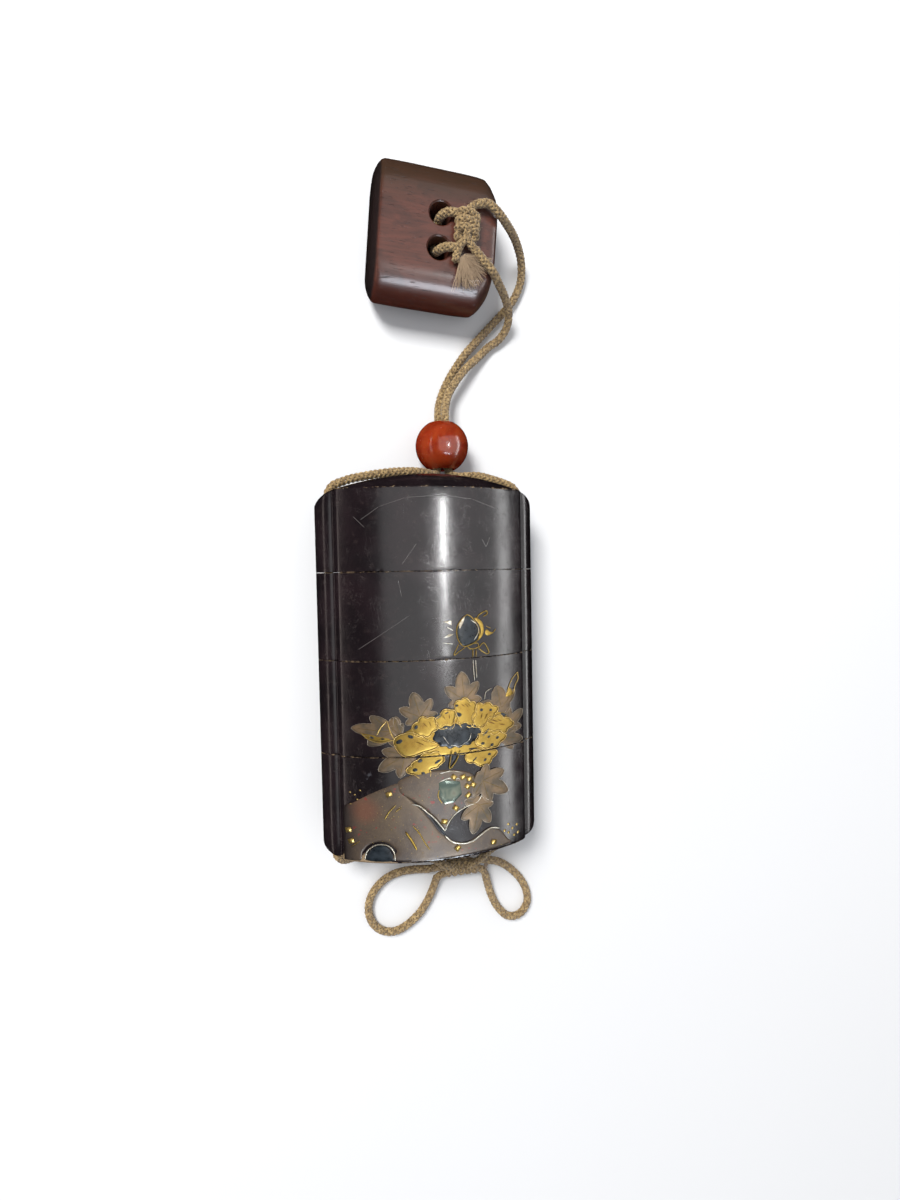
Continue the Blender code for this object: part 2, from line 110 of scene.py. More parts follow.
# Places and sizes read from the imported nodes
MIDDLE_LOW, MIDDLE_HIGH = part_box("middle_case")
HALF_WIDTH = MIDDLE_HIGH.x
HALF_DEPTH = (MIDDLE_HIGH.z + REST_FLAT) / 2
MIDDLE_Z = HALF_DEPTH - REST_FLAT
HALF_RIDGE = RIDGE_SPAN / 2
PANEL_BULGE = HALF_DEPTH - RIDGE_DEPTH / 2
PANEL_RADIUS = (HALF_RIDGE**2 + PANEL_BULGE**2) / (2 * PANEL_BULGE)
SEAM_LOW = MIDDLE_LOW.y - FIT_GAP / 2
SEAM_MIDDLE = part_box("upper_case")[0].y - FIT_GAP / 2
SEAM_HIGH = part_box("lid")[0].y - FIT_GAP / 2
RIM_Y = SEAM_LOW - BASE_HEIGHT
LID_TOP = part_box("lid")[1].y - LID_DOME
SOCKET_DEPTH = RISER_HEIGHT + FIT_GAP
TUNNEL_RADIUS = CORD_DIAMETER / 2 + TUNNEL_GAP
TUNNEL_X = HALF_WIDTH - TUNNEL_EDGE - TUNNEL_RADIUS
LID_RIM = LID_TOP - RIM_Y

# Netsuke and bead
TOGGLE_LOW, TOGGLE_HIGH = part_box("netsuke")
NETSUKE_LENGTH = 0.0284
NETSUKE_WIDTH = 0.0309
NETSUKE_THICKNESS = TOGGLE_HIGH.z
NETSUKE_EDGE = 0.0066
NETSUKE_SHIFT = (-0.0002, 0.00065, 0.0)
NETSUKE_FROM_LID = 0.0574
NETSUKE_X = 0.0034
NETSUKE_TURN = math.radians(-4.9)
HOLE_RADIUS = 0.0025
HOLE_SPACING = 0.0076
HOLE_DEPTH = 0.0085
HOLE_X = 0.0006
BEAD_LOW, BEAD_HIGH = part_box("ojime_bead")
BEAD_CENTRE = (BEAD_LOW + BEAD_HIGH) / 2
BEAD_RADIUS = (BEAD_HIGH.z - BEAD_LOW.z) / 2
BEAD_BORE = 0.0050
BEAD_MOUTH = 0.0060


class Signal:
    """One output of a node, so that sums of shader or shape values read as Python."""

    def __init__(self, maker, socket):
        self.maker = maker
        self.socket = socket

    def __add__(self, other):
        return self.maker.maths("ADD", self, other)

    def __radd__(self, other):
        return self.maker.maths("ADD", other, self)

    def __sub__(self, other):
        return self.maker.maths("SUBTRACT", self, other)

    def __rsub__(self, other):
        return self.maker.maths("SUBTRACT", other, self)

    def __mul__(self, other):
        return self.maker.maths("MULTIPLY", self, other)

    def __rmul__(self, other):
        return self.maker.maths("MULTIPLY", other, self)

    def __truediv__(self, other):
        return self.maker.maths("DIVIDE", self, other)


class Maker:
    """Adds nodes to one tree."""

    def __init__(self, tree):
        self.tree = tree

    def node(self, kind, settings=None, inputs=None, output=0):
        """A node of one type with its settings, then its sockets' values or links."""
        made = self.tree.nodes.new(kind)
        for key, value in (settings or {}).items():
            setattr(made, key, value)
        for key, value in (inputs or {}).items():
            if isinstance(value, Signal):
                self.tree.links.new(value.socket, made.inputs[key])
            else:
                made.inputs[key].default_value = value
        return Signal(self, made.outputs[output])

    def maths(self, operation, *values):
        """A sum, product or other step on numbers."""
        return self.node("ShaderNodeMath", {"operation": operation}, dict(enumerate(values)))

    def vector(self, operation, *values, output=0):
        """A step on vectors."""
        inputs = dict(enumerate(values))
        return self.node("ShaderNodeVectorMath", {"operation": operation}, inputs, output)

    def scaled(self, vector, share):
        """A vector times a number."""
        return self.node("ShaderNodeVectorMath", {"operation": "SCALE"}, {0: vector, "Scale": share})

    def part(self, vector, axis=0):
        """One component of a vector."""
        return self.node("ShaderNodeSeparateXYZ", None, {0: vector}, axis)


class Paint(Maker):
    """One procedural material around a Principled shader."""

    def __init__(self, name, **constants):
        self.material = bpy.data.materials.new(name)
        self.material.use_nodes = True
        super().__init__(self.material.node_tree)
        self.shader = self.tree.nodes["Principled BSDF"]
        for key, value in constants.items():
            self.set(key.replace("_", " "), value)

    def set(self, socket_name, value):
        """Gives the shader's socket a value or a link."""
        found = [s for s in self.shader.inputs if s.name.lower() == socket_name.lower()][0]
        if isinstance(value, Signal):
            self.tree.links.new(value.socket, found)
        else:
            found.default_value = value

    def finish(self, colour, roughness, relief=None):
        """Links the colour, the roughness and a relief in metres, and gives the material."""
        self.set("Base Color", colour)
        self.set("Roughness", roughness)
        if relief:
            inputs = {"Height": relief, "Distance": 1.0, "Strength": 1.0}
            self.set("Normal", self.node("ShaderNodeBump", None, inputs))
        return self.material

    def place(self, turn=0.0, stretch=(1, 1, 1), centre=(0, 0, 0)):
        """Object coordinates in metres, moved to a centre, turned about Z and stretched."""
        coordinates = self.node("ShaderNodeTexCoord", output=3)
        moved = self.vector("SUBTRACT", coordinates, centre)
        turned = self.node("ShaderNodeMapping", None, {"Vector": moved, "Rotation": (0, 0, -turn)})
        return self.vector("MULTIPLY", turned, stretch)

    def noise(self, where, scale, detail=2.0, roughness=0.5, distortion=0.0):
        """Fractal noise from 0 to 1."""
        inputs = {"Vector": where, "Scale": scale, "Detail": detail, "Roughness": roughness}
        inputs["Distortion"] = distortion
        return self.node("ShaderNodeTexNoise", None, inputs)

    def between(self, value, low, high):
        """0 below low, 1 above high."""
        inputs = {0: value, 1: low, 2: high, 3: 0.0, 4: 1.0}
        return self.node("ShaderNodeMapRange", {"interpolation_type": "SMOOTHSTEP"}, inputs)

    def mix(self, share, first, second):
        """Colour from first, at share 0, to second, at share 1."""
        inputs = {0: share}
        for key, colour in ((6, first), (7, second)):
            inputs[key] = colour if isinstance(colour, Signal) else (*colour, 1.0)
        return self.node("ShaderNodeMix", {"data_type": "RGBA"}, inputs, 2)

    def spot(self, centre, reach_x, reach_y, turn=0.0, soft=0.6):
        """1 inside an oval on the front, 0 outside it; the centre and reaches are in metres."""
        near = self.place(turn, (1 / reach_x, 1 / reach_y, 0), (*centre, 0))
        return 1.0 - self.between(self.vector("LENGTH", near, output=1), soft, 1.0)

    def stroke(self, start, end, width):
        """1 on a thin straight line on the front, 0 off it, from one point in metres to another."""
        run = Vector(end) - Vector(start)
        middle = Vector(start).lerp(Vector(end), 0.5)
        near = self.place(math.atan2(run.y, run.x), (1, 1, 0), (*middle, 0))
        along = self.maths("ABSOLUTE", self.part(near))
        off = self.maths("ABSOLUTE", self.part(near, 1))
        ends = 1.0 - self.between(along, 0.42 * run.length, 0.52 * run.length)
        return ends * (1.0 - self.between(off, 0.3 * width, width))

    def attribute(self, name):
        """A number that is stored on the mesh."""
        return self.node("ShaderNodeAttribute", {"attribute_name": name}, None, 2)


class Grower(Maker):
    """One Geometry Nodes tree with named inputs, ending in Realize Instances and Set Material."""

    def __init__(self, name, **defaults):
        self.group = bpy.data.node_groups.new(name, "GeometryNodeTree")
        super().__init__(self.group)
        self.group.interface.new_socket("Geometry", in_out="INPUT", socket_type="NodeSocketGeometry")
        for key, value in defaults.items():
            kind = "NodeSocketInt" if isinstance(value, int) else "NodeSocketFloat"
            socket = self.group.interface.new_socket(key, in_out="INPUT", socket_type=kind)
            socket.default_value = value
        self.group.interface.new_socket("Material", in_out="INPUT", socket_type="NodeSocketMaterial")
        self.group.interface.new_socket("Geometry", in_out="OUTPUT", socket_type="NodeSocketGeometry")
        self.start = self.group.nodes.new("NodeGroupInput")
        self.end = self.group.nodes.new("NodeGroupOutput")

    def value(self, name):
        """One of the tree's own inputs."""
        return Signal(self, self.start.outputs[name])

    def lines(self):
        """The source mesh's lines as curves."""
        return self.node("GeometryNodeMeshToCurve", None, {"Mesh": self.value("Geometry")})

    def ring(self, sides):
        """A circle of radius 1 for a body's section."""
        return self.node("GeometryNodeCurvePrimitiveCircle", None, {"Resolution": sides, "Radius": 1.0})

    def swept(self, curve, ring, width, caps=True):
        """A body along curves, with a ring for its section and a width that scales the ring."""
        inputs = {"Curve": curve, "Profile Curve": ring, "Scale": width, "Fill Caps": caps}
        return self.node("GeometryNodeCurveToMesh", None, inputs)

    def named(self, name, kind="FLOAT"):
        """An attribute of the source mesh."""
        return self.node("GeometryNodeInputNamedAttribute", {"data_type": kind}, {"Name": name})

    def stored(self, geometry, name, value):
        """The geometry with a number kept on each point."""
        settings = {"data_type": "FLOAT", "domain": "POINT"}
        inputs = {"Geometry": geometry, "Name": name, "Value": value}
        return self.node("GeometryNodeStoreNamedAttribute", settings, inputs)

    def chance(self, low, high, seed):
        """A random number for each point."""
        inputs = {"Min": low, "Max": high, "Seed": seed}
        return self.node("FunctionNodeRandomValue", {"data_type": "FLOAT"}, inputs, 1)

    def spin(self, low, high):
        """A random turn about Z for each point."""
        turn = self.chance(low, high, self.value("Seed"))
        angles = self.node("ShaderNodeCombineXYZ", None, {"Z": turn})
        return self.node("FunctionNodeEulerToRotation", None, {"Euler": angles})

    def copies(self, points, body, rotation, size):
        """A copy of a body on each point."""
        inputs = {"Points": points, "Instance": body, "Rotation": rotation, "Scale": size}
        return self.node("GeometryNodeInstanceOnPoints", None, inputs)

    def finish(self, geometry):
        """Realizes the geometry, gives it the material and closes the tree."""
        real = self.node("GeometryNodeRealizeInstances", None, {"Geometry": geometry})
        smooth = self.node("GeometryNodeSetShadeSmooth", None, {"Geometry": real})
        inputs = {"Geometry": smooth, "Material": self.value("Material")}
        painted = self.node("GeometryNodeSetMaterial", None, inputs)
        self.tree.links.new(painted.socket, self.end.inputs[0])
        return self.group


def placed(name, data):
    """A new object in the scene."""
    thing = bpy.data.objects.new(name, data)
    bpy.context.scene.collection.objects.link(thing)
    return thing


def evaluated_mesh(holder):
    """The plain mesh that an object's modifiers make."""
    depsgraph = bpy.context.evaluated_depsgraph_get()
    return bpy.data.meshes.new_from_object(holder.evaluated_get(depsgraph))


def mesh_of(name, work):
    """A plain mesh from a bmesh, which is freed."""
    mesh = bpy.data.meshes.new(name)
    work.to_mesh(mesh)
    work.free()
    return mesh


def shaded(mesh, sharp):
    """The mesh with smooth faces and edges sharp from an angle in degrees."""
    mesh.shade_smooth()
    mesh.set_sharp_from_angle(angle=math.radians(sharp))
    return mesh


def grown_mesh(name, source, group, look, **values):
    """The plain mesh that a Geometry Nodes tree makes from a source mesh."""
    holder = placed(name + "_source", source)
    modifier = holder.modifiers.new("grow", "NODES")
    modifier.node_group = group
    values["Material"] = look
    for socket in group.interface.items_tree:
        if socket.in_out == "INPUT" and socket.name in values:
            modifier[socket.identifier] = values[socket.name]
    mesh = evaluated_mesh(holder)
    mesh.name = name
    bpy.data.objects.remove(holder)
    return mesh


def add_piece(name, mesh, *looks):
    """A finished piece at the origin."""
    piece = placed(name, mesh)
    for look in looks:
        mesh.materials.append(look)
    return piece


def dress(piece, slot, *nodes):
    """Says what a finished piece rides on and stands for; the slot is not used."""
    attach(piece, BODY)
    if nodes:
        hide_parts(*nodes)
    return piece


def loft_mesh(name, rings, sharp=35, close=False):
    """Closed mesh through rings of equal count, capped at both ends or joined into a loop."""
    work = bmesh.new()
    rows = [[work.verts.new(point) for point in made] for made in rings]
    pairs = list(zip(rows, rows[1:]))
    if close:
        pairs.append((rows[-1], rows[0]))
    count = len(rows[0])
    for low, high in pairs:
        for i in range(count):
            j = (i + 1) % count
            work.faces.new((low[i], low[j], high[j], high[i]))
    if not close:
        work.faces.new(rows[0])
        work.faces.new(rows[-1])
    bmesh.ops.recalc_face_normals(work, faces=work.faces)
    return shaded(mesh_of(name, work), sharp)


def cut_mesh(mesh, cutters):
    """A copy of the mesh with closed cutter meshes taken away."""
    holder = placed(mesh.name + "_uncut", mesh)
    helpers = []
    for cutter in cutters:
        helpers.append(placed(cutter.name, cutter))
        cut = holder.modifiers.new("cut_" + cutter.name, "BOOLEAN")
        cut.operation = "DIFFERENCE"
        cut.solver = "EXACT"
        cut.object = helpers[-1]
    made = evaluated_mesh(holder)
    for thing in [holder] + helpers:
        bpy.data.objects.remove(thing)
    return shaded(made, CUT_SHARP)


def circle(centre, radius, along, count):
    """Ring of points about an axis, Y or Z."""
    made = []
    for i in range(count):
        angle = 2 * math.pi * i / count
        a = radius * math.cos(angle)
        b = radius * math.sin(angle)
        made.append(Vector(centre) + (Vector((a, 0, b)) if along == "Y" else Vector((a, b, 0))))
    return made


def smooth_route(points, step, close=False):
    """Points a step apart on a Catmull-Rom curve through the chosen points."""
    knots = [Vector(point) for point in points]
    if close:
        knots = [knots[-1]] + knots + [knots[0], knots[1]]
    else:
        knots = [2 * knots[0] - knots[1]] + knots + [2 * knots[-1] - knots[-2]]
    fine = []
    for a, b, c, d in zip(knots, knots[1:], knots[2:], knots[3:]):
        for i in range(CURVE_STEPS):
            t = i / CURVE_STEPS
            bend = (2 * a - 5 * b + 4 * c - d) * t**2 + (3 * b - a - 3 * c + d) * t**3
            fine.append((2 * b + (c - a) * t + bend) / 2)
    fine.append(knots[-2])
    return even_steps(fine, step)


def even_steps(fine, step):
    """Points a step apart along a fine line, both ends kept."""
    lengths = [0.0]
    for a, b in zip(fine, fine[1:]):
        lengths.append(lengths[-1] + (b - a).length)
    count = max(2, round(lengths[-1] / step))
    made = []
    k = 0
    for i in range(count + 1):
        wanted = lengths[-1] * i / count
        while k < len(lengths) - 2 and lengths[k + 1] < wanted:
            k += 1
        share = (wanted - lengths[k]) / max(lengths[k + 1] - lengths[k], 1e-12)
        made.append(fine[k].lerp(fine[k + 1], share))
    return made


def line_mesh(name, lines):
    """Mesh of open lines, each a list of (point, width) pairs, with the width as an attribute."""
    mesh = bpy.data.meshes.new(name)
    points = []
    edges = []
    widths = []
    for line in lines:
        start = len(points)
        points += [point for point, width in line]
        widths += [width for point, width in line]
        edges += [(i, i + 1) for i in range(start, len(points) - 1)]
    mesh.from_pydata(points, edges, [])
    mesh.attributes.new("width", "FLOAT", "POINT").data.foreach_set("value", widths)
    return mesh


# The case's section and its four lacquered pieces

PANEL_STEPS = 64
RUNNER_STEPS = 40
OUTLINE_POINTS = 400
SOFTENINGS = 3
RIM_PROFILE = ((0.0, 1.0), (0.12, 0.45), (0.42, 0.1), (1.0, 0.0))
RIM_WEAR = 0.00011
CROWN_SIZES = (0.985, 0.96, 0.93, 0.89, 0.84, 0.78, 0.7, 0.6, 0.49, 0.37, 0.25, 0.14, 0.06)

# Chips at the rims of the front: place across, half width, depth, seam and side of it, in mm
CHIPS = (
    (-14.9, 1.3, 0.30, "high", 1),
    (-12.2, 0.45, 0.42, "high", 1),
    (-1.0, 3.2, 0.16, "high", -1),
    (4.2, 1.4, 0.20, "high", 1),
    (-13.8, 0.6, 0.34, "middle", -1),
    (11.5, 0.5, 0.26, "middle", -1),
    (-17.2, 2.2, 0.30, "low", 1),
    (-19.6, 1.0, 0.34, "low", -1),
    (13.4, 1.1, 0.16, "low", -1),
)


def panel_height(x, inset=0.0):
    """Distance of the front panel from the middle plane, with its arc moved in by inset."""
    centre = HALF_DEPTH - PANEL_RADIUS
    return centre + math.sqrt(max((PANEL_RADIUS - inset) ** 2 - x**2, 0.0))


def outline(corner_x, corner_z, root_z, reach, inset=0.0):
    """Section across the case as (x, z) points: two arched panels and two rounded ends."""
    across = [-corner_x + 2 * corner_x * i / PANEL_STEPS for i in range(PANEL_STEPS + 1)]
    front = [(x, panel_height(x, inset)) for x in across]
    front[0] = (-corner_x, corner_z)
    front[-1] = (corner_x, corner_z)
    end = []
    for i in range(RUNNER_STEPS + 1):
        angle = math.pi / 2 - math.pi * i / RUNNER_STEPS
        out = corner_x + (reach - corner_x) * math.cos(angle)
        end.append((out, root_z * math.sin(angle)))
    back = [(-x, -z) for x, z in front]
    far_end = [(-x, -z) for x, z in end]
    return front + end + back + far_end


def evened(points, softenings=SOFTENINGS):
    """A closed (x, z) outline as evenly spaced points, its corners a little rounded."""
    closed = [Vector((x, 0, z)) for x, z in points]
    even = even_steps(closed + [closed[0]], 1.0)
    total = sum((b - a).length for a, b in zip(closed, closed[1:] + closed[:1]))
    even = even_steps(closed + [closed[0]], total / OUTLINE_POINTS)[:-1]
    for turn in range(softenings):
        after = even[1:] + even[:1]
        before = even[-1:] + even[:-1]
        even = [(a + 2 * b + c) / 4 for a, b, c in zip(before, even, after)]
    return [(point.x, point.z) for point in even]


def outer_outline():
    """The visible section, flattened a little where the back rests."""
    points = evened(outline(HALF_RIDGE, RIDGE_DEPTH / 2, RUNNER_DEPTH / 2, HALF_WIDTH))
    return [(x, min(max(z, -MIDDLE_Z), HALF_DEPTH)) for x, z in points]


def hollow_outline(inset):
    """Section of a hollow or a riser whose wall lies inset from the panels."""
    reach = HALF_RIDGE - END_WALL + WALL - inset
    corner_x = reach - HOLLOW_END
    corner_z = panel_height(corner_x, inset)
    return evened(outline(corner_x, corner_z, corner_z * HOLLOW_CORNER, reach, inset), 2)


def inward_normals(points):
    """Unit directions into a section at each of its points."""
    made = []
    count = len(points)
    for i in range(count):
        before = Vector(points[i - 2])
        after = Vector(points[(i + 2) % count])
        along = (after - before).normalized()
        made.append(Vector((along.y, -along.x)))
    return made


OUTER = outer_outline()
INWARD = inward_normals(OUTER)


def flat_ring(points, y, size=1.0):
    """A section across the case at one place along it."""
    return [Vector((x * size, y, z * size + MIDDLE_Z)) for x, z in points]


def crown(x, z, dome):
    """Rise of the lid's or the base's end above its rim, fuller towards the front."""
    span = dome * (1 - (x / HALF_RIDGE) ** 2)
    if abs(x) < HALF_RIDGE:
        return span * (1 - min(abs(z) / panel_height(x), 1.0) ** (FRONT_FULLNESS if z > 0 else 2))
    past = min((abs(x) - HALF_RIDGE) / (HALF_WIDTH - HALF_RIDGE), 1.0)
    return span - CORNER_DROP * (1 - math.sqrt(1 - past**2))


def rim_wear(x, z, seam, side):
    """How far a rim is worn back at one point of the section."""
    rough = noise.noise(Vector((x, z, side * 0.01)) * 420)
    rough += 0.6 * noise.noise(Vector((x, z, side)) * 1500)
    worn = RIM_WEAR * (1.15 + 0.8 * rough)
    if z > 0:
        for place, half, depth, chip_seam, chip_side in CHIPS:
            if chip_seam == seam and chip_side == side:
                share = math.exp(-(((x / MM - place) / half) ** 4))
                worn += depth * MM * share * (0.75 + 0.35 * rough)
    return max(worn, 0.3 * RIM_WEAR)


def rim_rings(y, seam, side):
    """Rings of a rounded, worn rim, from the rim's own edge into the wall on the given side."""
    rings = []
    for share, inset in RIM_PROFILE:
        made = []
        for (x, z), inward in zip(OUTER, INWARD):
            worn = rim_wear(x, z, seam, side)
            moved = Vector((x, z)) + inward * worn * inset
            made.append(Vector((moved.x, y + side * worn * share, moved.y + MIDDLE_Z)))
        rings.append(made)
    return rings


def crown_rings(rim, dome, towards):
    """Rings from the wall's end over its rounded rim to the middle of a domed end."""
    rings = []
    for share, inset in RIM_PROFILE[::-1]:
        made = []
        for (x, z), inward in zip(OUTER, INWARD):
            worn = 3.2 * rim_wear(x, z, "end", 1)
            moved = Vector((x, z)) + inward * worn * inset
            y = rim + towards * (crown(moved.x, moved.y, dome) - worn * share)
            made.append(Vector((moved.x, y, moved.y + MIDDLE_Z)))
        rings.append(made)
    for size in CROWN_SIZES:
        made = []
        for x, z in OUTER:
            y = rim + towards * crown(x * size, z * size, dome)
            made.append(Vector((x * size, y, z * size + MIDDLE_Z)))
        rings.append(made)
    return rings


def socket_rings(low):
    """Rings of the rebate under a section."""
    points = hollow_outline(WALL - RISER_WALL - FIT_GAP)
    return [flat_ring(points, low + SOCKET_DEPTH), flat_ring(points, low)]


def riser_rings(high, floor_top):
    """Rings of the riser above a section and of its hollow."""
    riser = hollow_outline(WALL - RISER_WALL)
    hollow = hollow_outline(WALL)
    return [
        flat_ring(riser, high),
        flat_ring(riser, high + RISER_HEIGHT),
        flat_ring(hollow, high + RISER_HEIGHT),
        flat_ring(hollow, floor_top),
    ]


def flat_wall(low, high):
    """Two rings that keep the wall between a section's rims flat along the case."""
    return [flat_ring(OUTER, low + FLAT_FROM), flat_ring(OUTER, high - FLAT_FROM)]


def middle_section_rings(low, high, low_seam, high_seam):
    """One case of the stack, open above and rebated below."""
    walls = rim_rings(low, low_seam, 1) + flat_wall(low, high) + rim_rings(high, high_seam, -1)[::-1]
    floor_top = low + SOCKET_DEPTH + FLOOR
    return socket_rings(low) + walls + riser_rings(high, floor_top)


def base_section_rings():
    """Rings of the base, from its rim over its underside and back inside."""
    high = SEAM_LOW - SEEN_GAP / 2
    under = crown_rings(RIM_Y, BASE_DOME, -1)[::-1]
    wall = flat_wall(RIM_Y + CORNER_DROP, high) + rim_rings(high, "low", -1)[::-1]
    return under + wall + riser_rings(high, RIM_Y + FLOOR)


def lid_section_rings():
    """Rings of the lid, from its rebate over its dome."""
    low = SEAM_HIGH + SEEN_GAP / 2
    hollow = hollow_outline(WALL)
    ceiling = [
        flat_ring(hollow, LID_TOP + LID_DOME - FLOOR * 1.15, 0.25),
        flat_ring(hollow, LID_TOP + LID_DOME * 0.6 - FLOOR, 0.7),
        flat_ring(hollow, LID_TOP - FLOOR),
        flat_ring(hollow, low + SOCKET_DEPTH),
    ]
    wall = rim_rings(low, "high", 1) + flat_wall(low, LID_TOP - CORNER_DROP)
    return ceiling + socket_rings(low) + wall + crown_rings(LID_TOP, LID_DOME, 1)


def tunnel_mesh(name, side):
    """Long drill for one cord tunnel, flared where it leaves the lid and the base."""
    flared = TUNNEL_RADIUS + MOUTH_FLARE
    beyond = 4 * MM
    stations = (
        (RIM_Y - BASE_DOME - beyond, flared),
        (RIM_Y, flared),
        (RIM_Y + MOUTH_LENGTH, TUNNEL_RADIUS),
        (LID_TOP - MOUTH_LENGTH, TUNNEL_RADIUS),
        (LID_TOP, flared),
        (LID_TOP + LID_DOME + beyond, flared),
    )
    rings = [circle((side * TUNNEL_X, y, MIDDLE_Z), r, "Y", 32) for y, r in stations]
    return loft_mesh(name, rings)


def outside(x, z):
    """Whether a point lies on the case's skin, not on an inner wall."""
    if abs(x) > HALF_RIDGE:
        return abs(x) > HALF_RIDGE + 0.0006 or abs(z - MIDDLE_Z) > 0.0042
    return abs(z - MIDDLE_Z) > panel_height(x) - 0.0004


def mark_wear(mesh):
    """Stores how worn the lacquer is at each point, for its material."""
    worn = []
    for vertex in mesh.vertices:
        x, y, z = vertex.co
        end = min(abs(y - RIM_Y), abs(y - LID_TOP))
        lower_left = math.exp(-(((x + 0.0165) / 0.0052) ** 4)) if z > MIDDLE_Z else 0.25
        near_base = math.exp(-(((y - RIM_Y) / 0.0009) ** 2))
        edge = math.exp(-((end / 0.00035) ** 2))
        seam = min(abs(y - s) for s in (SEAM_LOW, SEAM_MIDDLE, SEAM_HIGH)) - SEEN_GAP / 2
        rim = math.exp(-((max(seam, 0.0) / 0.00016) ** 2)) if outside(x, z) else 0.0
        worn.append(min(0.5 * edge + near_base * lower_left + 0.5 * rim, 1.0))
    mesh.attributes.new("worn", "FLOAT", "POINT").data.foreach_set("value", worn)


def colour_property(name, description, default):
    """A colour in the panel."""
    return bpy.props.FloatVectorProperty(
        name=name, description=description, default=default, subtype="COLOR", size=3, min=0.0, max=1.0
    )


def length_property(name, description, default):
    """A length in the panel, in metres."""
    return bpy.props.FloatProperty(
        name=name, description=description, default=default, unit="LENGTH", min=0.0, precision=5
    )


# Colours of the pieces as the photograph shows them, in linear light


class InroLacquerSettings(bpy.types.PropertyGroup):
    """Black lacquer of the four sections."""

    colour: colour_property("Lacquer", "Colour of the polished black lacquer", (0.005, 0.0042, 0.0050))
    tint: colour_property("Aged tint", "Purple-brown cast of aged lacquer", (0.016, 0.009, 0.011))
    worn: colour_property("Worn ground", "Tan ground that shows at worn edges", (0.34, 0.23, 0.12))
    scratches: bpy.props.FloatProperty(
        name="Scratches", description="Strength of the fine scratches", default=1.0, min=0.0, max=3.0
    )


class InroPictureSettings(bpy.types.PropertyGroup):
    """Gold and coloured picture on the front."""

    gold: colour_property("Gold", "Sprinkled gold powder", (0.270, 0.178, 0.036))
    leaf: colour_property("Leaves", "Brown-grey metal powder of the leaves", (0.074, 0.056, 0.033))
    rock: colour_property("Rock", "Red-brown ground of the rock", (0.052, 0.034, 0.023))
    silver: colour_property("Silver", "Tarnished silver lines", (0.55, 0.53, 0.46))
    night: colour_property("Blue-black", "Polished blue-black hearts", (0.006, 0.009, 0.012))
    relief: length_property("Relief", "Height of the thickest raised layer", 0.00034)
    line: length_property("Line", "Radius of the drawn outlines", 0.00011)


class InroWoodSettings(bpy.types.PropertyGroup):
    """Rosewood toggle."""

    light: colour_property("Light wood", "Reddish-brown wood between the grain", (0.118, 0.037, 0.025))
    dark: colour_property("Dark wood", "Dark grain lines and smoke-brown zones", (0.050, 0.020, 0.014))


class InroBeadSettings(bpy.types.PropertyGroup):
    """Carnelian bead."""

    bright: colour_property("Bright stone", "Orange-red of the clear stone", (0.30, 0.038, 0.009))
    deep: colour_property("Deep stone", "Dark red of the cloudy bands", (0.22, 0.019, 0.005))


class InroCordSettings(bpy.types.PropertyGroup):
    """Braided cord."""

    light: colour_property("Light fibre", "Tan fibre on the strands' crowns", (0.56, 0.395, 0.180))
    dark: colour_property("Dark fibre", "Brown fibre between the strands", (0.16, 0.094, 0.036))
    diameter: length_property("Diameter", "Outer diameter of the braid", CORD_DIAMETER)
    pitch: length_property("Pitch", "Length in which a strand goes once round", 0.0043)
    strand: length_property("Strand", "Radius of one strand", 0.00031)


def lacquer_paint(colours):
    """Old black lacquer: aged blotches, fine scratches and tan ground at its worn edges."""
    paint = Paint("black_lacquer", IOR=1.52)
    where = paint.place()
    blotch = paint.between(paint.noise(where, 95, 3.0, 0.55), 0.35, 0.72)
    fleck = paint.between(paint.noise(where, 620, 2.0, 0.6), 0.55, 0.75)
    aged = paint.mix(0.25 + 0.6 * blotch, colours.colour, colours.tint)
    grain = paint.noise(where, 2300, 3.0, 0.7)
    speckled = paint.mix(0.3 * fleck, aged, (0.040, 0.028, 0.026))
    scuff = paint.spot((-0.0146, RIM_Y + 0.0176), 0.0019, 0.0034, math.radians(24), 0.1)
    speckled = paint.mix(0.55 * scuff * fleck, speckled, (0.12, 0.13, 0.15))
    ground = paint.mix(grain, colours.worn, [0.45 * c for c in colours.worn])
    breakup = paint.noise(where, 900, 3.0, 0.65)
    bare = paint.between(paint.attribute("worn") + 0.75 * breakup - 0.375, 0.42, 0.6)
    scratches = scratch_mask(paint, where) * colours.scratches
    scored = paint.mix(paint.maths("MINIMUM", 0.17 * scratches, 1.0), speckled, (0.24, 0.22, 0.20))
    haze = paint.between(paint.noise(where, 180, 4.0, 0.6), 0.3, 0.8)
    gloss = 0.10 + 0.10 * haze + 0.12 * grain
    roughness = paint.maths("MAXIMUM", gloss + 0.2 * scratches, 0.75 * bare)
    wave = paint.noise(where, 70, 1.0, 0.4)
    relief = 0.0000035 * grain + 0.00009 * wave - 0.000012 * scratches
    relief = relief + bare * breakup * 0.00008
    return paint.finish(paint.mix(bare, scored, ground), roughness, relief)


# Single scratches of the front, as points in mm across it and up from the base's rim
SCRATCHES = (
    ((-15.9, 73.8), (-12.0, 76.5), (-6.5, 78.3), (1.0, 78.8), (8.0, 78.1), (14.6, 76.0)),
    ((-17.3, 74.6), (-15.0, 72.2)),
    ((10.3, 69.5), (11.3, 67.8), (12.3, 69.9)),
    ((-7.6, 64.2), (-4.4, 68.6)),
    ((-8.4, 61.0), (-7.7, 57.4)),
    ((-17.1, 46.2), (-6.1, 53.5)),
)
SCRATCH_WIDTH = 0.00011
FAINT = 0.35

# Fine scratches: direction in degrees, scale, width and a shift that sets them apart
SCRATCH_LAYERS = ((8, 300, 0.010, 3), (-31, 380, 0.008, 7), (64, 340, 0.009, 11), (97, 260, 0.007, 17))


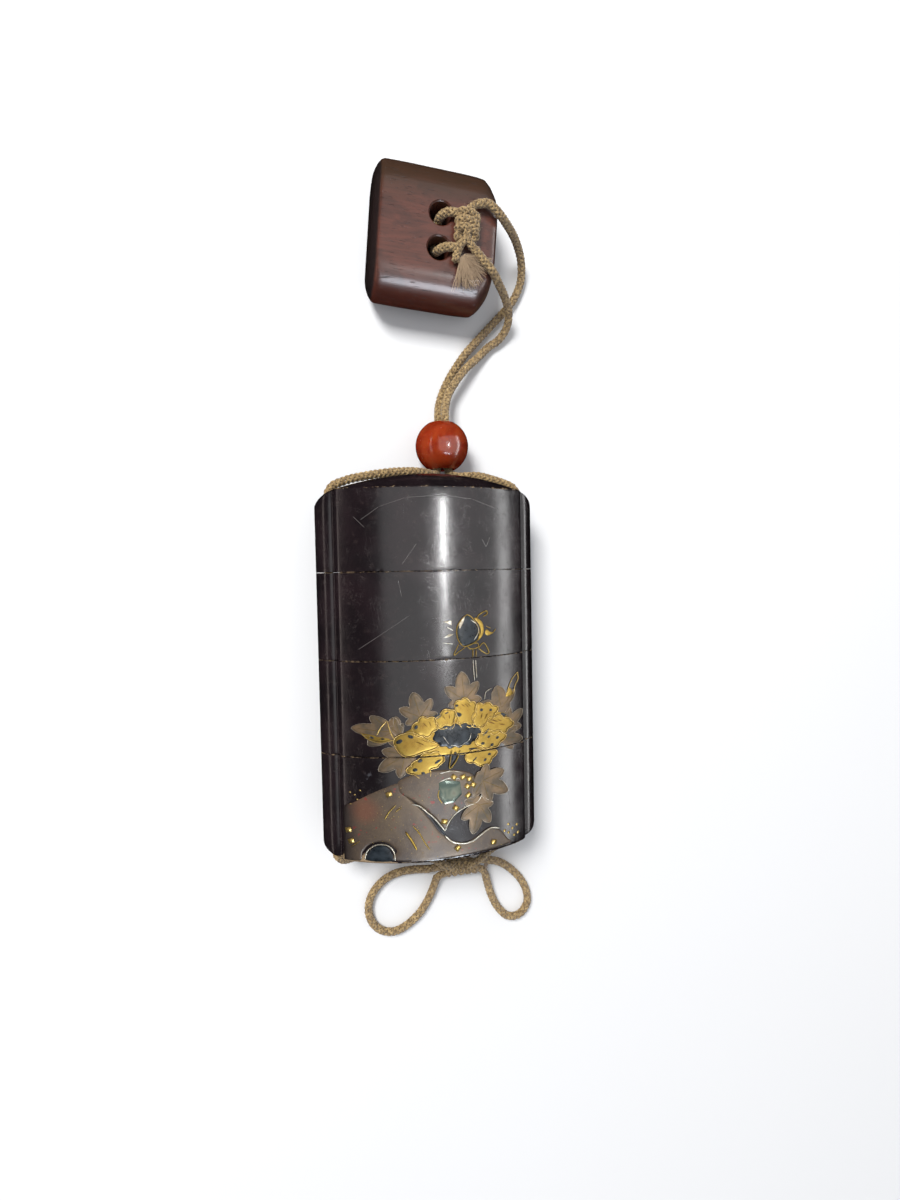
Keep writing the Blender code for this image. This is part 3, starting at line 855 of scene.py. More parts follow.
def scratch_mask(paint, where):
    """The single scratches, and thin broken lines in several directions."""
    lines = []
    for route in SCRATCHES:
        points = [(x * MM, RIM_Y + y * MM) for x, y in route]
        lines += [paint.stroke(start, end, SCRATCH_WIDTH) for start, end in zip(points, points[1:])]
    for turn, scale, width, shift in SCRATCH_LAYERS:
        stretched = paint.place(math.radians(turn), (1.0, 0.07, 1.0), (shift * MM, 0, 0))
        ripple = paint.noise(stretched, scale * 5, 1.0, 0.5, 0.15)
        line = 1.0 - paint.between(paint.maths("ABSOLUTE", ripple - 0.5), 0.0, width)
        broken = paint.between(paint.noise(where, 160 + 13 * shift, 1.0, 0.5), 0.52, 0.66)
        lines.append(line * broken * FAINT)
    total = lines[0]
    for line in lines[1:]:
        total = paint.maths("MAXIMUM", total, line)
    return total


class INRO_OT_sections(bpy.types.Operator):
    """Makes the lid, the two middle cases and the base with their worn rims and cord tunnels"""

    bl_idname = "inro.sections"
    bl_label = "Lacquered Sections"

    def execute(self, context):
        look = lacquer_paint(context.scene.inro_lacquer)
        gap = SEEN_GAP / 2
        sections = {
            "base_case": base_section_rings(),
            "middle_case": middle_section_rings(SEAM_LOW + gap, SEAM_MIDDLE - gap, "low", "middle"),
            "upper_case": middle_section_rings(SEAM_MIDDLE + gap, SEAM_HIGH - gap, "middle", "high"),
            "lid": lid_section_rings(),
        }
        for node, rings in sections.items():
            tunnels = [tunnel_mesh("tunnel_left", -1), tunnel_mesh("tunnel_right", 1)]
            mesh = cut_mesh(loft_mesh(node + "_lacquer", rings), tunnels)
            mark_wear(mesh)
            dress(add_piece(node + "_lacquer", mesh, look), "lacquer", node)
        return {"FINISHED"}


# The picture: shapes as outlines in mm across the front (x) and up from the base's rim (y)

LOOKS = ("gold", "leaf", "rock", "silver", "night", "shell", "pale", "vein", "dark", "edge")
PANEL_REACH = 20.85
LINE_REACH = 20.6
SHEET_DEPTH = 0.07
HEART_RUFFLE = (2.25, 0.55)
LOW_LEAVES = 20
LEAF_POINTS = 72
OVAL_POINTS = 14
FLAKE_SIZE = 0.00130
DOT_SIZES = (0.00062, 0.00036)
SPRINKLED = 130


def smoothed(points, step=0.3):
    """A closed outline through chosen points, rounded between them."""
    return [(p.x, p.y) for p in smooth_route([(x, y, 0) for x, y in points], step, True)]


def ruffled(points, wave, depth, phase=0.0):
    """A smoothed outline with small lobes all along its edge."""
    loop = [Vector(p) for p in smoothed(points, 0.16)][:-1]
    middle = sum(loop, Vector((0, 0))) / len(loop)
    made = []
    for i, point in enumerate(loop):
        swing = depth * (abs(math.sin(math.pi * (0.16 * i / wave + phase))) - 0.6)
        outward = (point - middle).normalized()
        made.append(tuple(point + outward * swing))
    return made


def palm_leaf(base, tip, width, lobes):
    """A leaf with pointed lobes fanning out from its base, as a closed outline."""
    start = Vector(base)
    axis = Vector(tip) - start
    length = axis.length
    along = axis.normalized()
    across = Vector((-along.y, along.x)) * (0.86 * width / length)
    fans = [(0, 1.0, 38), (50, 0.86, 34), (-48, 0.82, 34), (98, 0.62, 34), (-96, 0.66, 34)][:lobes]
    made = []
    for i in range(LEAF_POINTS + 1):
        angle = -150 + 300 * i / LEAF_POINTS
        reach = 0.16
        for middle, share, half in fans:
            off = min(abs(angle - middle) / half, 1.0)
            reach = max(reach, share * (1 - 0.66 * off**1.35))
        turn = math.radians(angle)
        made.append(tuple(start + length * reach * (along * math.cos(turn) + across * math.sin(turn))))
    return made


def leaf_ribs(base, tip, width, lobes):
    """The middle line of each lobe of a leaf."""
    loop = palm_leaf(base, tip, width, lobes)
    tips = (36, 48, 24, 60, 13)[:lobes]
    return [[base, tuple(Vector(base).lerp(Vector(loop[i]), 0.86))] for i in tips]


# Petals of the peony, from the back to the front
FLOWER_BACK = (
    (-9.9, 26.0), (-8.4, 28.0), (-6.2, 29.4), (-4.6, 31.1), (-1.7, 31.6), (0.9, 32.6), (2.8, 32.8),
    (3.9, 34.4), (5.4, 34.7), (7.6, 33.8), (12.4, 32.6), (15.4, 30.9), (17.4, 28.4), (15.6, 25.8),
    (13.2, 23.6), (11.8, 22.4), (5.4, 22.6), (-0.1, 23.0), (-4.5, 23.3), (-8.6, 24.0),
)
PETALS = (
    (
        (-6.2, 28.6), (-5.9, 29.9), (-4.7, 31.3), (-3.1, 31.6), (-1.7, 31.3), (-0.6, 29.8),
        (-2.0, 27.9), (-4.6, 27.4),
    ),
    ((-1.4, 30.2), (-0.3, 32.0), (0.9, 32.8), (2.8, 32.8), (3.2, 31.0), (2.4, 28.9), (0.2, 28.9)),
    (
        (3.8, 29.9), (3.6, 32.1), (2.9, 33.0), (3.9, 34.7), (5.2, 35.0), (7.5, 34.0), (8.1, 32.3),
        (7.3, 29.2), (5.6, 28.6),
    ),
    ((7.0, 29.4), (8.0, 32.3), (9.1, 33.6), (12.6, 32.8), (13.4, 31.4), (11.9, 29.8), (9.0, 28.2)),
    (
        (9.0, 27.6), (11.6, 30.0), (14.0, 30.2), (16.0, 29.4), (17.8, 28.2), (16.4, 26.8),
        (14.7, 26.2), (10.8, 26.6),
    ),
    ((8.3, 26.6), (11.8, 27.2), (15.0, 26.3), (15.4, 25.2), (13.4, 23.6), (10.5, 23.4), (8.3, 24.5)),
    (
        (5.4, 22.8), (8.6, 23.5), (12.6, 22.7), (12.7, 21.5), (11.6, 20.5), (10.2, 19.6),
        (9.3, 19.5), (8.0, 20.4), (6.6, 20.6), (5.7, 21.4),
    ),
    (
        (-0.1, 23.4), (-2.4, 23.9), (-4.6, 23.2), (-5.4, 22.3), (-6.8, 21.4), (-7.5, 20.4),
        (-6.7, 19.3), (-5.4, 19.1), (-4.2, 18.1), (-2.6, 18.9), (-2.2, 20.3), (-0.5, 20.8),
        (0.4, 22.0),
    ),
    (
        (-10.1, 26.0), (-9.8, 27.3), (-8.3, 28.2), (-6.4, 28.4), (-5.0, 27.8), (-2.9, 26.6),
        (-0.6, 25.2), (-3.7, 24.0), (-7.2, 23.2), (-9.2, 24.1),
    ),
)
RUFFLES = (
    (2.6, 0.6), (3.0, 0.5), (2.5, 0.6), (2.7, 0.6), (2.6, 0.6), (2.8, 0.55), (3.0, 0.6), (2.7, 0.6),
    (6.0, 0.2),
)
HEART = (
    (-1.9, 27.9), (-0.8, 29.0), (1.4, 29.6), (3.6, 29.7), (6.0, 29.6), (8.0, 28.9), (9.2, 27.7),
    (8.8, 26.2), (7.0, 24.9), (4.4, 24.4), (1.6, 24.4), (-0.6, 25.2), (-1.7, 26.4),
)

# Dark spots on the petals: place, half length and half width in mm, turn in degrees
SPOTS = (
    (-9.0, 26.5, 0.75, 0.42, 25), (-6.6, 27.5, 0.65, 0.38, -20), (-5.4, 29.5, 0.5, 0.36, 60),
    (1.3, 32.2, 0.45, 0.16, 10), (3.6, 33.6, 0.36, 0.26, 0), (9.4, 32.1, 0.42, 0.32, 0),
    (11.7, 31.8, 0.38, 0.32, 0), (15.0, 30.3, 0.75, 0.42, -25), (10.4, 27.0, 1.1, 0.26, 40),
    (11.1, 25.9, 0.42, 0.28, 20), (13.3, 25.4, 0.45, 0.32, 10), (9.6, 24.6, 0.45, 0.32, 0),
    (11.9, 24.0, 0.45, 0.32, 20), (7.2, 23.8, 1.1, 0.16, 0), (-4.7, 22.2, 0.55, 0.36, 20),
    (-5.8, 20.3, 0.55, 0.4, 0), (-4.1, 19.5, 0.45, 0.32, -20), (-0.9, 21.8, 0.8, 0.28, 30),
    (11.2, 22.0, 0.45, 0.26, 0), (10.1, 20.9, 0.42, 0.28, 30), (-0.7, 31.6, 0.85, 0.42, 20),
    (-14.6, 27.4, 0.45, 0.2, -25), (-12.4, 27.1, 0.4, 0.18, 0), (3.9, 31.6, 0.8, 0.5, -10),
    (2.9, 22.6, 1.0, 0.42, 72), (7.6, 21.4, 0.7, 0.14, 40),
)

# Leaves: base, tip, width, number of lobes
LEAVES = (
    ((-10.4, 28.6), (-18.8, 29.4), 6.0, 5),
    ((-4.4, 31.6), (-5.9, 37.0), 6.6, 5),
    ((-8.9, 28.0), (-9.9, 31.8), 2.6, 3),
    ((5.4, 34.6), (4.8, 40.9), 7.2, 5),
    ((14.5, 31.8), (13.4, 37.0), 8.4, 3),
    ((15.8, 27.4), (20.6, 30.6), 5.6, 3),
    ((15.0, 25.2), (20.5, 23.8), 4.8, 3),
    ((-7.8, 23.6), (-13.4, 20.2), 6.4, 5),
    ((9.4, 16.4), (15.9, 12.8), 7.0, 5),
    ((8.4, 11.2), (6.8, 4.9), 6.6, 5),
)

ROCK_HEAD = (
    (-9.3, 15.4), (-9.4, 17.8), (-6.6, 19.2), (-5.0, 19.6), (-1.9, 19.9), (2.0, 19.7), (5.3, 19.0),
    (7.4, 17.7), (8.6, 14.9), (8.3, 12.7), (6.2, 11.2), (3.8, 10.2), (2.1, 8.7), (0.6, 6.6),
    (-0.9, 8.4), (-2.8, 10.5), (-4.6, 12.2), (-7.2, 14.0),
)
ROCK_SLOPE = (
    (-20.9, 11.2), (-18.6, 13.2), (-15.5, 15.0), (-12.5, 16.4), (-9.4, 17.4), (-8.2, 15.2), (-6.2, 13.2),
    (-4.2, 11.2), (-2.4, 8.8), (-0.8, 6.4), (0.9, 5.0), (2.6, 3.9), (5.4, 3.3), (8.3, 4.4),
    (10.7, 5.4), (13.7, 4.3), (15.6, 2.0), (16.4, 0.6), (9.0, 0.45), (-9.8, 0.45), (-10.0, 2.7),
    (-11.8, 4.3), (-13.6, 4.6), (-15.6, 3.9), (-17.0, 2.2), (-17.4, 0.45), (-20.9, 0.5),
)
NIGHT_DOME = (
    (-16.3, 0.5), (-15.9, 2.2), (-14.7, 3.4), (-13.2, 3.9), (-11.9, 3.5), (-11.0, 2.2), (-10.8, 0.5),
)
NIGHT_WEDGE = (
    (-6.2, 12.6), (-4.2, 11.5), (-2.3, 9.7), (-0.8, 7.6), (0.2, 6.5), (0.9, 4.9), (-0.6, 6.6),
    (-2.2, 9.1), (-4.0, 11.2),
)
SHELL_PATCH = (
    (-0.8, 17.2), (0.8, 17.7), (4.0, 17.0), (4.4, 14.2), (2.6, 12.6), (0.4, 12.3), (-0.9, 14.4),
)
BUD = (
    (6.3, 53.1), (8.0, 51.9), (9.1, 49.6), (8.9, 47.7), (7.1, 46.6), (5.2, 46.5), (4.0, 48.5),
    (4.2, 51.0),
)
GOLD_PARTS = (
    (
        (8.0, 52.3), (8.8, 52.4), (10.1, 51.2), (10.4, 49.4), (9.9, 48.2), (8.8, 47.3), (9.5, 49.2),
        (9.2, 50.8),
    ),
    ((15.6, 34.0), (16.8, 36.2), (17.9, 34.5)),
    ((-16.9, 28.3), (-15.3, 27.0), (-12.9, 26.3), (-10.1, 26.9), (-11.5, 27.4), (-13.7, 27.9)),
    ((10.6, 48.9), (11.4, 48.3), (12.9, 48.9), (12.0, 49.1), (11.0, 49.8)),
)
SILVER_PARTS = (
    ((0.9, 51.9), (2.8, 52.1), (2.8, 51.0)),
    ((4.3, 51.2), (5.9, 52.9), (5.5, 51.5), (4.6, 50.0)),
    ((0.9, 48.4), (2.2, 49.2), (3.3, 49.1), (2.1, 48.5)),
)

# Drawn lines: material, width share, height over the panel, then points in mm
LINES = (
    ("gold", 1.0, 0.12, (7.6, 45.6), (7.6, 43.9)),
    ("gold", 1.0, 0.12, (8.4, 45.5), (8.3, 43.9)),
    ("silver", 0.9, 0.10, (7.6, 43.3), (7.7, 41.0), (7.9, 38.6)),
    ("silver", 0.9, 0.10, (8.2, 43.2), (8.3, 41.2), (8.4, 39.2)),
    ("gold", 0.9, 0.10, (4.4, 47.0), (3.2, 44.6), (4.6, 45.4), (5.8, 46.1)),
    ("gold", 0.9, 0.10, (6.2, 46.4), (8.6, 46.9), (8.8, 45.9), (7.1, 45.7), (6.2, 46.4)),
    ("gold", 0.9, 0.10, (8.9, 45.7), (10.3, 46.8), (11.5, 44.7), (10.8, 44.4), (8.9, 45.7)),
    ("gold", 1.1, 0.12, (8.7, 52.2), (9.3, 53.1), (11.0, 53.8), (11.2, 53.1), (10.2, 52.6)),
    ("gold", 0.9, 0.12, (10.9, 50.4), (12.1, 49.9)),
    ("gold", 0.9, 0.12, (12.6, 48.9), (13.4, 49.7)),
    ("silver", 0.9, 0.24, (7.2, 52.0), (8.7, 50.8), (8.9, 49.2), (7.9, 47.6)),
    ("silver", 1.0, 0.08, (1.8, 50.7), (3.1, 49.9)),
    ("silver", 0.8, 0.08, (0.8, 47.3), (3.1, 47.0)),
    ("pale", 0.8, 0.14, (16.2, 35.4), (17.4, 37.8), (19.2, 39.4)),
    ("pale", 0.8, 0.14, (19.2, 39.4), (19.3, 37.8), (18.4, 36.4), (17.9, 34.6)),
    ("silver", 0.9, 0.14, (10.2, 34.3), (10.6, 35.9), (12.0, 36.6)),
    ("gold", 1.3, 0.30, (2.3, 24.0), (1.9, 22.0), (1.7, 20.1), (3.2, 21.6), (4.2, 23.8)),
    ("silver", 0.5, 0.42, (0.4, 27.2), (1.6, 25.4)),
    ("silver", 0.5, 0.42, (6.8, 27.3), (6.3, 26.0), (5.4, 25.3)),
    ("silver", 0.5, 0.42, (2.0, 25.2), (4.1, 24.8), (5.6, 25.6)),
    ("pale", 1.0, 0.20, (-13.6, 27.9), (-12.7, 29.6), (-11.4, 31.0)),
    ("pale", 1.0, 0.20, (-11.4, 31.0), (-10.9, 29.0), (-10.1, 27.0)),
    ("pale", 0.9, 0.20, (-16.9, 28.4), (-15.3, 27.0), (-12.9, 26.3), (-10.1, 26.9)),
    ("silver", 1.5, 0.30, (-6.7, 12.9), (-5.0, 12.4), (-3.4, 10.9), (-1.8, 9.4), (-0.4, 7.6), (0.4, 6.5)),
    ("silver", 1.3, 0.24, (0.4, 6.5), (1.4, 8.5), (3.0, 10.1), (5.2, 11.2), (7.9, 11.9), (9.2, 13.3)),
    ("silver", 1.6, 0.24, (0.4, 5.4), (2.1, 3.9), (4.4, 3.2), (6.8, 3.4), (9.3, 4.7),
     (11.3, 5.4), (13.6, 4.8)),
    ("silver", 1.4, 0.22, (-16.7, 0.7), (-16.2, 2.5), (-14.8, 3.8), (-13.2, 4.2),
     (-11.6, 3.8), (-10.6, 2.4), (-10.4, 0.7)),
    ("gold", 1.0, 0.36, (-10.0, 12.8), (-11.4, 11.4), (-12.4, 9.7)),
    ("gold", 0.8, 0.36, (-8.8, 12.2), (-9.6, 11.8), (-10.2, 11.2)),
    ("gold", 2.4, 0.34, (-8.1, 6.9), (-6.8, 4.9), (-5.8, 2.9)),
    ("gold", 1.1, 0.34, (-6.6, 8.2), (-5.2, 6.5), (-4.1, 4.4), (-3.0, 2.7)),
    ("gold", 0.9, 0.34, (-19.4, 3.4), (-18.6, 4.0), (-17.6, 4.8)),
    ("gold", 1.3, 0.30, (-0.7, 15.8), (-1.0, 14.2), (-0.1, 12.6)),
    ("silver", 0.9, 0.32, (-0.6, 17.4), (1.6, 18.0), (4.0, 17.6)),
    ("silver", 0.8, 0.32, (-0.4, 19.2), (2.0, 19.5), (4.4, 19.0)),
)

# Short dark strokes of painted shade on the petals: width share, start and end in mm
SHADOW_HEIGHT = 0.30
SHADOWS = (
    (0.7, (4.6, 33.9), (5.4, 33.2)), (0.7, (5.4, 34.0), (6.3, 33.0)), (0.6, (6.0, 34.0), (6.9, 33.1)),
    (0.9, (11.0, 29.3), (12.6, 28.6)), (0.9, (11.8, 29.6), (13.4, 29.0)),
    (0.8, (13.4, 29.4), (14.6, 28.9)), (0.7, (13.8, 28.4), (15.4, 27.9)),
    (0.6, (0.4, 31.8), (0.9, 30.8)), (0.6, (1.9, 31.8), (1.9, 30.8)),
    (0.6, (-3.9, 30.4), (-3.0, 29.4)), (0.6, (-2.6, 30.6), (-2.2, 29.6)),
    (0.6, (-4.4, 26.8), (-2.8, 26.1)), (0.6, (-5.6, 26.4), (-3.8, 25.6)),
    (0.6, (9.6, 31.4), (9.2, 30.2)), (0.6, (10.9, 31.2), (10.2, 30.0)),
)

# Square gold flakes, places in mm, and the small dots at the right and the left
FLAKES = (
    (-11.4, 15.2), (6.2, 17.3), (7.1, 15.9), (5.7, 15.7), (5.8, 13.7), (2.9, 11.3), (0.3, 8.6),
    (4.7, 17.9), (2.6, 18.1), (3.2, 2.4), (11.9, 2.1), (-19.9, 7.1), (-19.4, 4.7),
)
DOTS = (
    (16.0, 5.0), (14.9, 3.8), (16.0, 3.1), (17.1, 3.8), (18.4, 4.3), (18.7, 2.4), (17.6, 2.1),
    (-19.4, 15.3), (-18.4, 14.8), (-17.3, 15.8), (-17.9, 13.8), (-19.3, 12.7),
)


def drape(work, outline_mm, relief, bevel, look, spacing=0.8, edge_step=0.34, floor_mm=0.0):
    """Adds one closed raised layer to a bmesh: an outline laid on the panel and swelling inward."""
    corners = [Vector((x, y, 0)) for x, y in outline_mm]
    rim = even_steps(corners + [corners[0]], edge_step)[:-1]
    rim = [Vector((max(-PANEL_REACH, min(PANEL_REACH, p.x)), p.y)) for p in rim]
    count = len(rim)
    area = sum(rim[i - 1].x * rim[i].y - rim[i].x * rim[i - 1].y for i in range(count)) / 2
    if area < 0:
        rim.reverse()
    inner = []
    for i in range(count):
        along = (rim[(i + 1) % count] - rim[i - 1]).normalized()
        inner.append(rim[i] + Vector((-along.y, along.x)) * bevel)
    grid = []
    row = 0
    y = min(p.y for p in rim)
    while y < max(p.y for p in rim):
        x = min(p.x for p in rim) + (row % 2) * spacing / 2
        while x < max(p.x for p in rim):
            grid.append(Vector((x, y)))
            x += spacing
        y += spacing * 0.87
        row += 1
    inside = [p for p in grid if in_loop(p, rim) and min((p - q).length for q in rim) > 0.55 * spacing]
    points = rim + inner + inside
    edges = [(i, (i + 1) % count) for i in range(count)]
    found = delaunay_2d_cdt([p.to_2d() for p in points], edges, [], 1, 1e-5)
    flat_points, faces = found[0], found[2]
    tone = work.verts.layers.float["tone"]
    top = []
    bottom = []
    for point in flat_points:
        edge = min((point - q).length for q in rim)
        swell = 1 - math.exp(-edge / (2.2 * bevel + 0.001))
        high = floor_mm + (-0.02 if edge < 0.02 else relief * (0.35 + 0.65 * swell))
        up = MIDDLE_Z + panel_height(point.x * MM)
        vertex = work.verts.new((point.x * MM, RIM_Y + point.y * MM, up + high * MM))
        vertex[tone] = min(edge / 2.5, 1.0)
        top.append(vertex)
        bottom.append(work.verts.new((point.x * MM, RIM_Y + point.y * MM, up - SHEET_DEPTH * MM)))
    look_index = LOOKS.index(look)
    border = {}
    for face in faces:
        made = work.faces.new([top[i] for i in face])
        made.material_index = look_index
        made.smooth = True
        under = work.faces.new([bottom[i] for i in reversed(face)])
        under.material_index = look_index
        border.update(dict.fromkeys(zip(face, face[1:] + face[:1])))
    for a, b in border:
        if (b, a) not in border:
            side = work.faces.new((top[b], top[a], bottom[a], bottom[b]))
            side.material_index = look_index
            side.smooth = True


def in_loop(point, loop):
    """Whether a flat point lies inside a closed loop."""
    inside = False
    for i in range(len(loop)):
        a = loop[i - 1]
        b = loop[i]
        if (a.y > point.y) != (b.y > point.y):
            if point.x < a.x + (point.y - a.y) / (b.y - a.y) * (b.x - a.x):
                inside = not inside
    return inside


def picture_layers(relief):
    """The raised layers of the picture as one mesh; relief is in mm."""
    work = bmesh.new()
    work.verts.layers.float.new("tone")
    drape(work, smoothed(ROCK_SLOPE, 0.4), 0.6 * relief, 0.5, "rock")
    drape(work, smoothed(ROCK_HEAD, 0.4), relief, 0.4, "rock")
    for shape in (NIGHT_DOME, NIGHT_WEDGE):
        drape(work, smoothed(shape), 0.12, 0.2, "night")
    drape(work, SHELL_PATCH, 0.05, 0.1, "shell", floor_mm=relief)
    for leaf in LEAVES:
        high = 0.26 if leaf[0][1] < LOW_LEAVES else 0.0
        drape(work, palm_leaf(*leaf), 0.11, 0.2, "leaf", floor_mm=high)
    drape(work, smoothed(FLOWER_BACK), 0.12, 0.25, "gold")
    for number, loop in enumerate(petal_loops()):
        drape(work, loop, 0.15 + 0.03 * (number % 2), 0.3, "gold", floor_mm=0.05)
    for x, y, long, wide, turn in SPOTS:
        swing = math.radians(turn)
        oval = []
        for i in range(OVAL_POINTS):
            angle = 2 * math.pi * i / OVAL_POINTS
            a = long * math.cos(angle)
            b = wide * math.sin(angle)
            across = x + a * math.cos(swing) - b * math.sin(swing)
            oval.append((across, y + a * math.sin(swing) + b * math.cos(swing)))
        drape(work, oval, 0.02, 0.08, "night", 0.8, 0.25, 0.235)
    drape(work, ruffled(HEART, *HEART_RUFFLE), 0.34, 0.25, "night")
    drape(work, smoothed(BUD), 0.2, 0.3, "night")
    for shape in GOLD_PARTS:
        drape(work, smoothed(shape, 0.2), 0.16, 0.12, "gold")
    for shape in SILVER_PARTS:
        drape(work, shape, 0.05, 0.1, "silver", floor_mm=0.14)
    return mesh_of("picture_layers", work)


def petal_loops():
    """The ruffled outlines of the flower's petals."""
    pairs = enumerate(zip(PETALS, RUFFLES))
    return [ruffled(shape, *ruffle, 0.3 * number) for number, (shape, ruffle) in pairs]


def outline_strokes():
    """Pale outlines over dark ones of painted shade along the petal edges, and the leaves' ribs and light
    edges.
    """
    loops = [loop + [loop[0]] for loop in petal_loops()]
    made = [("dark", 1.25, 0.13, loop) for loop in loops]
    made += [("pale", 0.8, 0.20, loop) for loop in loops]
    made.append(("pale", 0.45, 0.27, ruffled(HEART, *HEART_RUFFLE)[:100]))
    made.append(("gold", 1.0, 0.12, smoothed(BUD)))
    for leaf in LEAVES:
        high = 0.36 if leaf[0][1] < LOW_LEAVES else 0.10
        made += [("vein", 0.45, high, rib) for rib in leaf_ribs(*leaf)]
        made.append(("edge", 0.5, 0.8 * high, palm_leaf(*leaf)))
    return made


def stroke_source(name, strokes, radius):
    """Lines in the panel's plan, with their height over the panel as z, tapering at both ends."""
    lines = []
    for share, height, points in strokes:
        route = smooth_route([(x, y, 0) for x, y in points], 0.25)
        line = []
        for i, point in enumerate(route):
            end = min(i, len(route) - 1 - i)
            taper = min(1.0, 0.35 + 0.3 * end)
            x = max(-LINE_REACH, min(LINE_REACH, point.x)) * MM
            line.append(((x, RIM_Y + point.y * MM, height * MM), radius * share * taper))
        lines.append(line)
    return line_mesh(name, lines)


def draped_lines_tree():
    """Tree that lays drawn lines on the arched panel as raised strokes."""
    sizes = {"Middle_Height": MIDDLE_Z, "Half_Depth": HALF_DEPTH, "Panel_Radius": PANEL_RADIUS}
    grow = Grower("draped_lines", **sizes)
    x = grow.part(grow.node("GeometryNodeInputPosition"))
    radius = grow.value("Panel_Radius")
    arch = grow.maths("SQRT", radius * radius - x * x)
    lift = grow.value("Middle_Height") + grow.value("Half_Depth") - radius + arch
    up = grow.node("ShaderNodeCombineXYZ", None, {"Z": lift})
    laid = grow.node("GeometryNodeSetPosition", None, {"Geometry": grow.lines(), "Offset": up})
    return grow.finish(grow.swept(laid, grow.ring(6), grow.named("width")))


def flake_tree():
    """Tree that lays one small square of gold leaf, at a random turn, on each point."""
    grow = Grower("gold_flakes", Seed=7)
    points = grow.node("GeometryNodeMeshToPoints", None, {"Mesh": grow.value("Geometry")})
    plate = grow.node("GeometryNodeMeshCube", None, {"Size": (1.0, 0.8, 0.12)})
    inputs = {"Rotation": grow.spin(-0.8, 0.8), "Vector": grow.named("up", "FLOAT_VECTOR")}
    facing = grow.node("FunctionNodeAlignRotationToVector", {"axis": "Z"}, inputs)
    return grow.finish(grow.copies(points, plate, facing, grow.named("width")))


def flake_points(relief):
    """Places of the flakes and of the gold dust sprinkled over the rock."""
    rolls = random.Random(11)
    spots = [(x, y, relief + 0.02, FLAKE_SIZE) for x, y in FLAKES]
    spots += [(x, y, 0.02, DOT_SIZES[x < 0]) for x, y in DOTS]
    slope = [Vector(p) for p in ROCK_SLOPE]
    head = [Vector(p) for p in ROCK_HEAD]
    while len(spots) < SPRINKLED:
        x = rolls.uniform(-15, 15)
        y = rolls.uniform(0.6, 19.5)
        if in_loop(Vector((x, y)), head) or in_loop(Vector((x, y)), slope):
            spots.append((x, y, 0.8 * relief, rolls.uniform(0.00007, 0.00017)))
    mesh = bpy.data.meshes.new("flake_points")
    places = []
    directions = []
    for x, y, height, size in spots:
        z = MIDDLE_Z + panel_height(x * MM) + height * MM
        places.append((x * MM, RIM_Y + y * MM, z))
        slant = x * MM / PANEL_RADIUS
        directions += [slant, 0.0, math.sqrt(1 - slant**2)]
    mesh.from_pydata(places, [], [])
    mesh.attributes.new("up", "FLOAT_VECTOR", "POINT").data.foreach_set("vector", directions)
    mesh.attributes.new("width", "FLOAT", "POINT").data.foreach_set("value", [s[3] for s in spots])
    return mesh


def part_between(mesh, name, low, high):
    """The share of a closed mesh between two heights along the case, closed where it is cut."""
    work = bmesh.new()
    work.from_mesh(mesh)
    for y, direction in ((low, -1), (high, 1)):
        everything = work.verts[:] + work.edges[:] + work.faces[:]
        plane = {"plane_co": (0, y, 0), "plane_no": (0, direction, 0)}
        cut = bmesh.ops.bisect_plane(work, geom=everything, dist=1e-7, clear_outer=True, **plane)
        edges = [e for e in cut["geom_cut"] if isinstance(e, bmesh.types.BMEdge) and e.is_boundary]
        filled = bmesh.ops.holes_fill(work, edges=edges, sides=0)
        for face in filled["faces"]:
            beside = [f for e in face.edges for f in e.link_faces if f != face]
            if beside:
                face.material_index = beside[0].material_index
    return mesh_of(name, work)


def joined(name, meshes, layer=None):
    """One mesh from several, each with an index for its material or None to keep its own."""
    work = bmesh.new()
    if layer:
        work.verts.layers.float.new(layer)
    for mesh, look_index in meshes:
        start = len(work.faces)
        work.from_mesh(mesh)
        if look_index is not None:
            work.faces.ensure_lookup_table()
            for face in work.faces[start:]:
                face.material_index = look_index
    return mesh_of(name, work)


def gold_paint(name, shade, roughness):
    """Sprinkled metal powder, worn thin in spots and darker towards the middle of each petal."""
    paint = Paint(name, Metallic=0.86, IOR=1.5)
    where = paint.place()
    powder = paint.noise(where, 5200, 2.0, 0.75)
    cloud = paint.noise(where, 420, 3.0, 0.6)
    tone = paint.attribute("tone")
    deep = [c * k for c, k in zip(shade, (0.74, 0.60, 0.42))]
    warm = paint.mix(0.85 * tone * paint.between(cloud, 0.25, 0.7), shade, deep)
    worn = paint.between(cloud * 0.6 + powder * 0.5, 0.60, 0.74)
    colour = paint.mix(0.75 * worn, warm, (0.12, 0.055, 0.02))
    return paint.finish(colour, roughness + 0.25 * powder, powder * 0.000022 + cloud * 0.00003)


def leaf_paint(colours):
    """Grey-brown metal powder with fine veins along the leaf."""
    paint = Paint("leaf_powder", Metallic=0.45, IOR=1.5)
    where = paint.place()
    powder = paint.noise(where, 4300, 2.0, 0.75)
    cloud = paint.between(paint.noise(where, 330, 3.0, 0.6), 0.3, 0.7)
    brown = paint.mix(cloud, colours.leaf, (0.20, 0.125, 0.060))
    colour = paint.mix(0.5 * powder, brown, (0.045, 0.040, 0.036))
    return paint.finish(colour, 0.38 + 0.25 * powder, powder * 0.00002)


